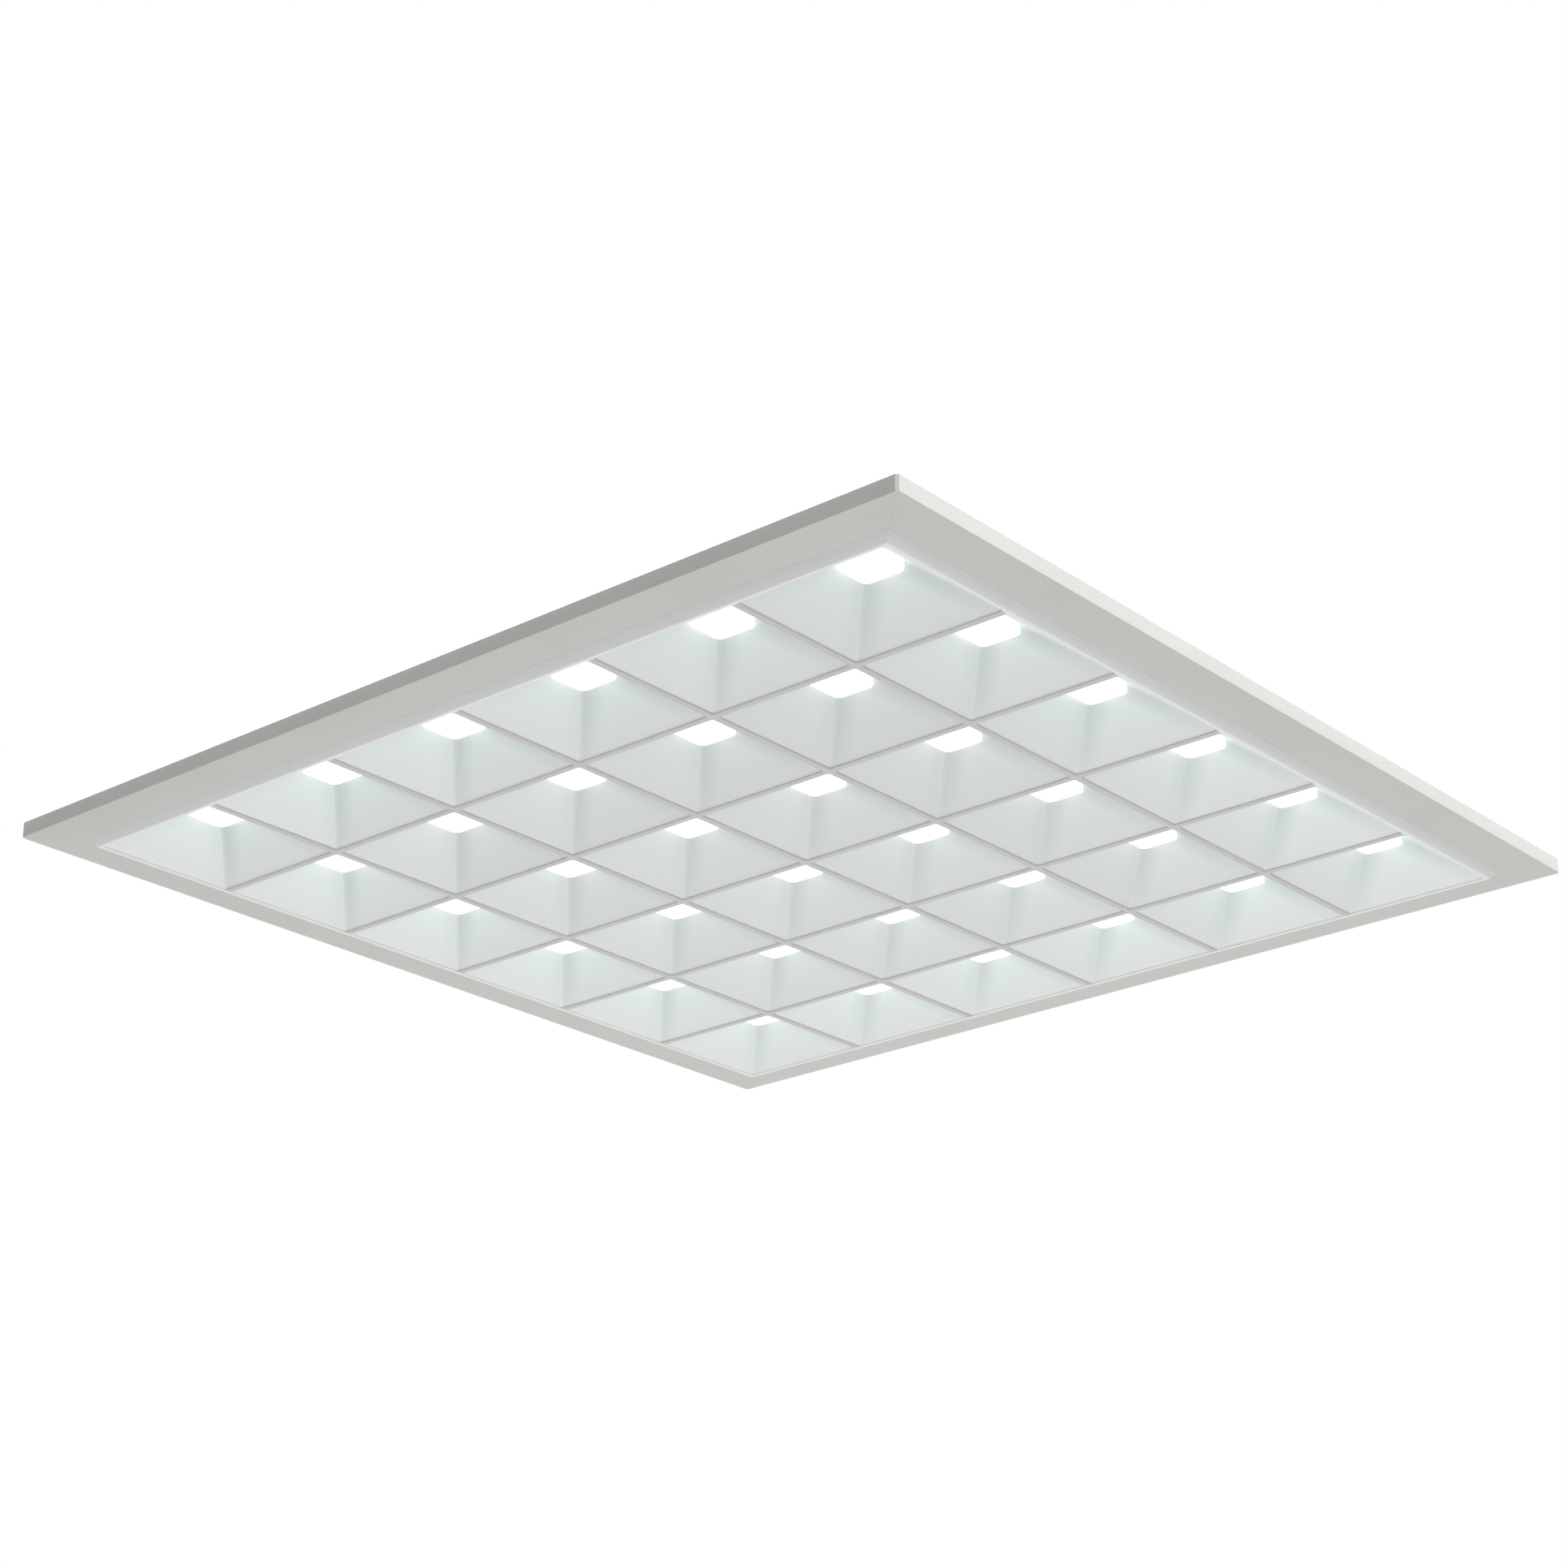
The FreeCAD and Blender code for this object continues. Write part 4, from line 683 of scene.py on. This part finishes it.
def screw(x, y, seat, spin=0.0):
    """Pan head with a cross recess. The dome over the seat loses a recess where a point lies within the half
    width of one of two crossed lines, |x| or |y| < w, and inside the cross, r < c, both with soft edges."""
    steps = 64
    a = np.arange(steps) * 2 * math.pi / steps
    rings = []
    for radius, z in ((0, seat - SCREW_LENGTH), (SCREW_SHANK, seat - SCREW_LENGTH), (SCREW_SHANK, seat),
                      (SCREW_HEAD, seat), (SCREW_HEAD, seat + HEAD_RIM * SCREW_HEIGHT)):
        rings.append(np.column_stack([radius * np.cos(a), radius * np.sin(a), np.full(steps, z)]))
    for share in np.linspace(0.98, 0, 17):
        radius = SCREW_HEAD * share
        across = radius * np.minimum(np.abs(np.cos(a - spin)), np.abs(np.sin(a - spin)))
        in_slot = np.clip((SLOT_HALF - across) / SLOT_EDGE, 0, 1)
        in_slot *= np.clip((CROSS_REACH - share) / CROSS_EDGE, 0, 1)
        dome_z = HEAD_RIM + (1 - HEAD_RIM) * math.sqrt(1 - share ** 2)
        z = seat + SCREW_HEIGHT * dome_z - SLOT_DEPTH * in_slot
        rings.append(np.column_stack([radius * np.cos(a), radius * np.sin(a), z]))
    return moved(loft(np.stack(rings)), x, y)


def rivet(x, y, seat, radius, height):
    """Blind rivet: a low dome with the broken pin sunk in its middle."""
    shank, rim = radius * 0.6, seat + 0.15 * height
    profile = [(0, seat - MM), (shank, seat - MM), (shank, seat), (radius, seat), (radius, rim)]
    profile += dome(radius, rim, 0.85 * height, 0.36)
    sunk = seat + 0.6 * height
    profile += [(radius * 0.33, sunk + 0.1 * height), (radius * 0.3, sunk), (0, sunk + 0.05 * height)]
    return revolved(profile, x, y)


def hanger_insert(x, y):
    """Flanged insert with a thread in its bore: r = bore + depth (1 + cos(2 pi z / pitch - a)) / 2."""
    foot, top = PAN_TOP_Z - INSERT_LENGTH, PAN_TOP_Z + SHEET
    bore, barrel, flange = 2.1 * MM, INSERT_BARREL, 5.0 * MM
    depth, pitch = 0.14 * MM, 0.8 * MM
    a = np.arange(24) * 2 * math.pi / 24
    profile = [(bore, foot), (barrel, foot), (barrel, PAN_TOP_Z), (flange - 0.1 * MM, PAN_TOP_Z),
               (flange, PAN_TOP_Z + 0.1 * MM), (flange, top - 0.2 * MM), (flange - 0.2 * MM, top),
               (bore + 0.5 * MM, top), (bore + 0.1 * MM, top - 0.4 * MM)]
    for z in np.arange(top - 0.5 * MM, foot, -0.2 * MM):
        profile.append((bore + depth / 2 * (1 + np.cos(2 * math.pi * z / pitch - a)), z))
    return revolved(profile + [(bore, foot)], x, y)


def fasteners():
    """Screws, rivets and inserts of the back. Each screw's cross is turned by an angle of its own."""
    zinc, rivet_metal, brass = zinc_plate(), bare_aluminium(), plain_brass()
    step, line = FLANGE_END / 2, 6.9 * MM
    side = [screw(x, line - HALF, FLANGE_TOP, 0.4 + 9 * x) for x in (-step, step)]
    put("flange_screws", [turned(one, 90 * k) for k in range(4) for one in side],
        zinc, ["pan_screws"])
    ear_x, ear_y = GEAR_X + EAR_WIDTH / 2, 20 * MM
    put("gear_box_screws", [screw(sx * ear_x, sy * ear_y, TRAY_FLOOR_Z, sx + 2 * sy)
                            for sx in (-1, 1) for sy in (-1, 1)], zinc, ["ear_screws"])
    low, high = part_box("driver_screws")
    seat = high.z - SCREW_HEIGHT
    places = ((low.x + SCREW_HEAD, high.y - SCREW_HEAD), (high.x - SCREW_HEAD, low.y + SCREW_HEAD))
    put("driver_mount_screws", [screw(x, y, seat, x) for x, y in places], zinc, ["driver_screws"])
    put("board_rivet_heads", [rivet(sx * RIVET_COLUMN, y, PAN_TOP_Z, 3.2 * MM, 1.3 * MM)
                              for y in ROWS for sx in (-1, 1)], rivet_metal, ["board_rivets"])
    put("threaded_inserts", [hanger_insert(sx * INSERT_ROW, sy * INSERT_ROW)
                             for sx in (-1, 1) for sy in (-1, 1)], zinc, ["hanger_inserts"])
    low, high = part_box("clip_rivets")
    head, height = 4.5 * MM, 1.2 * MM
    put("clip_pivots", [rivet(sx * (high.x - head), sy * PITCH, high.z - height, head, height)
                        for sx in (-1, 1) for sy in (-1, 1)], rivet_metal, ["clip_rivets"])
    low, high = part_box("earth_screw")
    x, y = (low.x + high.x) / 2, (low.y + high.y) / 2
    washer = revolved([(0, low.z), (4 * MM, low.z), (4 * MM, low.z + SHEET), (0, low.z + SHEET)], x, y)
    put("earth_terminal", [washer, screw(x, y, low.z + SHEET, 0.7)], brass, ["earth_screw"])


# ---------------------------------------------------------------- cable gland
GLAND_LOW, GLAND_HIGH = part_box("cable_gland")
GLAND_Z = (GLAND_LOW.z + GLAND_HIGH.z) / 2
GLAND_FLATS = 19.0 * MM
GLAND_THREAD = 7.9 * MM
GLAND_BORE = 4.2 * MM
THREAD_PITCH = 1.5 * MM
THREAD_DEPTH = 0.28 * MM
RIB_HEIGHT = 0.22 * MM
CAP_RIBS = 18


def hex_bar(x0, x1, hole):
    """Hexagonal nut along X: rounded corners, drawn in at both ends, and a round hole. A corner is at
    flats / sqrt(3)."""
    corner, drawn_in = GLAND_FLATS / math.sqrt(3), 0.94
    turns = np.radians(np.arange(6) * 60)
    outline = rounded_outline(np.column_stack([corner * np.cos(turns), corner * np.sin(turns)]), 1.2 * MM)
    angles = np.arctan2(outline[:, 1], outline[:, 0])
    circle = hole * np.column_stack([np.cos(angles), np.sin(angles)])
    chamfer = 0.5 * MM
    rows = [(circle, x0), (outline * drawn_in, x0), (outline, x0 + chamfer), (outline, x1 - chamfer),
            (outline * drawn_in, x1), (circle, x1), (circle, x0)]
    return loft(np.stack([np.column_stack([np.full(len(ring), x), ring[:, 0], ring[:, 1] + GLAND_Z])
                          for ring, x in rows]))


def cable_gland():
    """Threaded tail, hexagon and ribbed cap. The thread is r = r0 + depth cos(2 pi x / pitch - a), and the ribs
    of the cap are r = r0 + height cos(ribs a)."""
    steps = 108
    a = np.arange(steps) * 2 * math.pi / steps
    x0, wall, cap, x1 = GLAND_LOW.x, GEAR_X, GEAR_X + 5 * MM, GLAND_HIGH.x
    profile = [(GLAND_BORE, x0), (GLAND_THREAD - 0.8 * MM, x0)]
    for x in np.arange(x0 + 0.3 * MM, wall, 0.25 * MM):
        wave = np.cos(2 * math.pi * x / THREAD_PITCH - a)
        profile.append((GLAND_THREAD - 0.3 * MM + THREAD_DEPTH * wave, x))
    full = GLAND_THREAD + MM
    ribs = RIB_HEIGHT * np.cos(CAP_RIBS * a)
    for x, radius, share in ((cap - 0.2 * MM, full - 0.6 * MM, 0), (cap + 0.2 * MM, full - 0.3 * MM, 0),
                             (cap + 0.5 * MM, full - 0.24 * MM, 1), (cap + 4.2 * MM, full - 0.5 * MM, 1),
                             (cap + 5.2 * MM, full - 1.0 * MM, 0.6), (cap + 6.2 * MM, full - 1.9 * MM, 0),
                             (x1 - 0.2 * MM, full - 2.6 * MM, 0), (x1, full - 3.1 * MM, 0),
                             (x1, GLAND_BORE + 0.6 * MM, 0), (x1 - 0.8 * MM, GLAND_BORE, 0)):
        profile.append((radius + share * ribs, x))
    body = laid_along_x(revolved(profile + [(GLAND_BORE, x0)], steps=steps), 0, GLAND_Z)
    nylon = grey_nylon()
    put("gland_body", [body, hex_bar(wall, cap, GLAND_THREAD - 0.5 * MM)], nylon, ["cable_gland"])
    low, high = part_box("gland_nut")
    put("gland_lock_nut", [hex_bar(low.x, high.x, GLAND_THREAD)], nylon, ["gland_nut"])


# ---------------------------------------------------------------- grid clips
CLIP_SHEET = 1.2 * MM
CLIP_BEND = 2.4 * MM
CLIP_RISER = 13.4 * MM      # from the pivot to the upright part


def clip_strap():
    """Bent strap about X = 0 in the fourth clip's place along Y, and that clip's pivot x and y. Its middle line
    (y, z) is straight between two bends, and its half width is w, or sqrt(w^2 - t^2) where it rounds off at
    distance t past the centre of an end."""
    low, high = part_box("grid_clip_4")
    half = (high.x - low.x) / 2
    pivot_y = low.y + half
    foot_z, arm_z = low.z + CLIP_SHEET / 2, high.z - CLIP_SHEET / 2
    riser_y, end_y = pivot_y + CLIP_RISER, high.y
    tip = 0.06              # radians short of an end's tip, where the strap would have no width
    path = [(pivot_y - half * math.cos(t), foot_z) for t in np.linspace(tip, math.pi / 2, 9)]
    lower = (riser_y - CLIP_BEND, foot_z), (riser_y, foot_z), (riser_y, foot_z + CLIP_BEND)
    upper = (riser_y, arm_z - CLIP_BEND), (riser_y, arm_z), (riser_y + CLIP_BEND, arm_z)
    t = np.linspace(0, 1, 6)[:, None]
    for before, corner, after in (lower, upper):
        bend = (1 - t) ** 2 * np.array(before) + 2 * t * (1 - t) * np.array(corner) + t ** 2 * np.array(after)
        path += [tuple(point) for point in bend]
    path += [(end_y - half + half * math.cos(t), arm_z) for t in np.linspace(math.pi / 2, tip, 9)]
    path = np.array(path)
    forward = np.gradient(path, axis=0)
    forward /= np.linalg.norm(forward, axis=1)[:, None]
    out = np.column_stack([-forward[:, 1], forward[:, 0]])
    past = np.maximum(np.maximum(pivot_y - path[:, 0], path[:, 0] - (end_y - half)), 0)
    width = np.sqrt(np.maximum(half ** 2 - past ** 2, 0))
    soft = 0.25 * MM
    corners = [(1, 0, -1, soft), (1, 0, 1, -soft), (1, -soft, 1, 0), (-1, soft, 1, 0),
               (-1, 0, 1, -soft), (-1, 0, -1, soft), (-1, soft, -1, 0), (1, -soft, -1, 0)]
    rings = [[(sx * w + dx, *(centre + normal * (sz * CLIP_SHEET / 2 + dz))) for sx, dx, sz, dz in corners]
             for centre, normal, w in zip(path, out, width)]
    return capped(np.array(rings)), (low.x + high.x) / 2, pivot_y


def grid_clips():
    """Four clips, each on its own body."""
    strap, pivot_x, pivot_y = clip_strap()
    strap = moved(strap, 0, -pivot_y)
    steel = galvanised_steel("clip_spring_steel", linear(186, 189, 192))
    places = [(sx, sy) for sx in (-1, 1) for sy in (-1, 1)]
    for number, (sx, sy) in enumerate(places, start=1):
        placed = moved(strap if sy > 0 else turned(strap, 180), sx * abs(pivot_x), sy * abs(pivot_y))
        name = f"grid_clip_{number}"
        put(f"clip_strap_{number}", [placed], steel, [name], body=name, sharp=40)


# ---------------------------------------------------------------- hinge and leads
def hinge():
    """Round pin, and round eyes over those of the tray and the lid."""
    low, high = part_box("hinge_pin")
    y, z = (low.y + high.y) / 2, (low.z + high.z) / 2
    pin, head, eye = 1.25 * MM, 1.8 * MM, 2.4 * MM
    profile = [(0, low.x), (pin - 0.2 * MM, low.x), (pin, low.x + 0.2 * MM), (pin, high.x - MM),
               (head, high.x - MM), (head, high.x - 0.3 * MM), (head - 0.3 * MM, high.x), (0, high.x)]
    put("lid_pin", [laid_along_x(revolved(profile), y, z)], zinc_plate(), ["hinge_pin"])
    length, gap = 12 * MM, 0.3 * MM
    first, last = low.x + MM, high.x - MM - length
    bore, soft = pin + 0.05 * MM, 0.1 * MM
    steel = gear_steel()
    for name, body, starts in (("tray_eyes", "housing", (first, last)),
                               ("lid_eyes", "wiring_lid", (first + length + gap, last - length - gap))):
        eyes = [revolved([(bore, x), (eye - soft, x), (eye, x + soft), (eye, x + length - soft),
                          (eye - soft, x + length), (bore, x + length), (bore, x)]) for x in starts]
        put(name, [laid_along_x(one, y, z) for one in eyes], steel, body=body)


def leads():
    """Round leads from the terminals to the driver: live, neutral and earth."""
    low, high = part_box("mains_leads")
    radius = 0.9 * MM
    z = (low.z + high.z) / 2
    colours = (("brown", linear(104, 70, 46)), ("blue", linear(58, 100, 168)), ("green", linear(92, 150, 62)))
    for (colour, tone), y in zip(colours, (low.y + radius, (low.y + high.y) / 2, high.y - radius)):
        paint = insulation(colour + "_insulation", tone)
        rod = revolved([(0, low.x), (radius, low.x), (radius, high.x), (0, high.x)], steps=16)
        put(colour + "_lead", [laid_along_x(rod, y, z)], paint,
            ["mains_leads"] if colour == "brown" else ())


# ---------------------------------------------------------------- soft-edged copies of CAD nodes
def softened(node, width, paint, body="housing"):
    """Copy of a node with its doubles merged, its flat faces joined and its sharp edges bevelled."""
    source = frame["nodes"][node]
    copy = bmesh.new()
    copy.from_mesh(source.data)
    bmesh.ops.remove_doubles(copy, verts=copy.verts, dist=WELD)
    flat = math.radians(1.0)
    bmesh.ops.dissolve_limit(copy, angle_limit=flat, verts=copy.verts, edges=copy.edges)
    bmesh.ops.recalc_face_normals(copy, faces=copy.faces)
    mesh = bpy.data.meshes.new(node + "_soft")
    copy.to_mesh(mesh)
    copy.free()
    mesh.shade_smooth()
    mesh.set_sharp_from_angle(angle=math.radians(SHARP_EDGE))
    mesh.materials.clear()
    mesh.materials.append(paint)
    piece = bpy.data.objects.new(node + "_soft", mesh)
    bpy.context.scene.collection.objects.link(piece)
    bevel = piece.modifiers.new("soft_edges", "BEVEL")
    bevel.width = width
    bevel.segments = 2
    bevel.limit_method = "ANGLE"
    bevel.angle_limit = math.radians(SHARP_EDGE)
    bevel.harden_normals = True
    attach(piece, body)
    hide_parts(node)


def softened_nodes():
    """Folded sheets and mouldings whose edges catch light."""
    steel, edge = gear_steel(), 0.3 * MM
    softened("corner_keys", edge, zinc_plate())
    softened("gear_tray", edge, steel)
    softened("driver_cover", edge, steel)
    softened("wiring_lid", edge, steel, "wiring_lid")
    softened("compartment_divider", 0.2 * MM, steel)
    softened("led_driver", 0.6 * MM, driver_case())
    softened("terminal_block", edge, white_nylon())
    orange = orange_nylon()
    for number in (1, 2, 3):
        name = f"release_button_{number}"
        softened(name, edge, orange, name)


# ---------------------------------------------------------------- finishes of the CAD nodes that stay
def node_finishes():
    """Material of each node that keeps its own shape."""
    foam = plain_finish("grey_foam", linear(98, 98, 100), linear(84, 84, 86), 0.95, grain=1800)
    board = plain_finish("white_solder_resist", linear(236, 238, 236), linear(230, 233, 231), 0.3)
    phosphor = plain_finish("phosphor_fill", linear(240, 214, 120), linear(232, 204, 106), 0.4)
    rubber = plain_finish("black_rubber", linear(34, 34, 35), linear(26, 26, 27), 0.75)
    by_slot = {"grey_foam": foam, "lamp_board": board, "lamp_package": phosphor, "black_rubber": rubber,
               "white_connector": white_nylon(), "red_lead": insulation("red_insulation", linear(170, 32, 28))}
    for part in frame["record"]["subparts"]:
        paint = by_slot.get(part["material_slot"])
        if paint:
            node = frame["nodes"][part["node"]]
            node.data.materials.clear()
            node.data.materials.append(paint)


# ---------------------------------------------------------------- studio
CAMERA_PLACE = Vector((-1.2613, -1.0358, -0.6495))
CAMERA_LOOK = Vector((0.70733, 0.58929, 0.39040))
CAMERA_ROLL = math.radians(-0.61)
CAMERA_SENSOR, CAMERA_LENS = 36.0, 74.02
AMBIENT = 0.405             # strength of the world on the object
KEY_POWER = 76
BELOW_POWER = 10.4
TOP_POWER = 34
FLOOR_Z = -2.6
FLOOR_HALF = 9.0
FADE_FROM, FADE_TO = 3.2, 5.5   # metres from the middle over which the floor fades into the white
FLOOR_GLOW = 0.35           # share of white in what the camera sees of the floor under the object


def camera():
    """The photograph's view: from below, past the near corner."""
    data = bpy.data.cameras.new("camera")
    data.sensor_width = CAMERA_SENSOR
    data.lens = CAMERA_LENS
    data.clip_start, data.clip_end = 0.05, 100.0
    turn = CAMERA_LOOK.to_track_quat("-Z", "Y").to_matrix()
    rolled = turn @ Matrix.Rotation(CAMERA_ROLL, 3, "Z")
    eye = bpy.data.objects.new("camera", data)
    eye.matrix_world = Matrix.Translation(CAMERA_PLACE) @ rolled.to_4x4()
    bpy.context.scene.collection.objects.link(eye)
    bpy.context.scene.camera = eye


def area_lamp(name, place, aim, size, power):
    """Soft lamp of a width and a height at a place, aimed at a point."""
    data = bpy.data.lights.new(name, "AREA")
    data.shape = "RECTANGLE"
    data.size, data.size_y = size
    data.energy = power
    lamp = bpy.data.objects.new(name, data)
    lamp.location = place
    lamp.rotation_euler = (Vector(aim) - Vector(place)).to_track_quat("-Z", "Y").to_euler()
    bpy.context.scene.collection.objects.link(lamp)


def surroundings():
    """A world that is white to the camera, in reflections and through glass, and lights the object evenly."""
    world = bpy.data.worlds.new("studio")
    world.use_nodes = True
    bpy.context.scene.world = world
    nodes, links = world.node_tree.nodes, world.node_tree.links
    nodes.clear()
    path = nodes.new("ShaderNodeLightPath")
    seen = nodes.new("ShaderNodeMath")
    seen.operation = "MAXIMUM"
    links.new(path.outputs["Is Camera Ray"], seen.inputs[0])
    mirrored = nodes.new("ShaderNodeMath")
    mirrored.operation = "MAXIMUM"
    links.new(path.outputs["Is Glossy Ray"], mirrored.inputs[0])
    links.new(path.outputs["Is Transmission Ray"], mirrored.inputs[1])
    links.new(mirrored.outputs[0], seen.inputs[1])
    strength = nodes.new("ShaderNodeMapRange")
    strength.inputs["To Min"].default_value = AMBIENT
    strength.inputs["To Max"].default_value = 1.0
    links.new(seen.outputs[0], strength.inputs["Value"])
    background = nodes.new("ShaderNodeBackground")
    background.inputs["Color"].default_value = (1, 1, 1, 1)
    links.new(strength.outputs["Result"], background.inputs["Strength"])
    out = nodes.new("ShaderNodeOutputWorld")
    links.new(background.outputs[0], out.inputs["Surface"])


def pale_floor():
    """Flat floor far below. The camera sees its colour mixed with white, and only white towards its edge."""
    t = np.linspace(-FLOOR_HALF, FLOOR_HALF, 5)
    x, y = np.meshgrid(t, t, indexing="ij")
    mesh = bpy.data.meshes.new("floor")
    mesh.from_pydata(np.stack([x, y, np.full_like(x, FLOOR_Z)], -1).reshape(-1, 3), [], quads(5, 5).tolist())
    finish = Finish("pale_floor", linear(236, 236, 235), 0.6)
    away = finish.node("VectorMath", {"operation": "LENGTH"}, i0=finish.place).outputs["Value"]
    light = finish.node("LightPath").outputs["Is Camera Ray"]
    glow = finish.node("Emission", Color=(1, 1, 1, 1), Strength=1.0)
    mix = finish.nodes.new("ShaderNodeMixShader")
    share = finish.reckon("MULTIPLY", light, finish.ramp(away, FADE_FROM, FADE_TO, FLOOR_GLOW, 1))
    finish.links.new(share, mix.inputs[0])
    finish.links.new(finish.shader.outputs[0], mix.inputs[1])
    finish.links.new(glow.outputs[0], mix.inputs[2])
    finish.links.new(mix.outputs[0], finish.nodes["Material Output"].inputs["Surface"])
    mesh.materials.append(finish.material)
    floor = bpy.data.objects.new("floor", mesh)
    bpy.context.scene.collection.objects.link(floor)


def studio():
    """White surroundings, a key lamp from the front side, soft lamps from below and above, and a floor."""
    surroundings()
    area_lamp("key", (0.3, -2.9, 1.0), (0, -0.2, 0), (3.6, 1.5), KEY_POWER)
    area_lamp("below", (0.35, 0.2, -1.6), (0, 0, 0), (1.4, 1.4), BELOW_POWER)
    area_lamp("top", (0.1, 0.3, 3.4), (0, 0, 0), (3.0, 3.0), TOP_POWER)
    pale_floor()


bpy.context.scene.view_settings.view_transform = "Standard"
frame_rails()
louvre()
lens_rows()
back_pan(coated_steel())
fasteners()
cable_gland()
grid_clips()
hinge()
leads()
softened_nodes()
node_finishes()
camera()
studio()
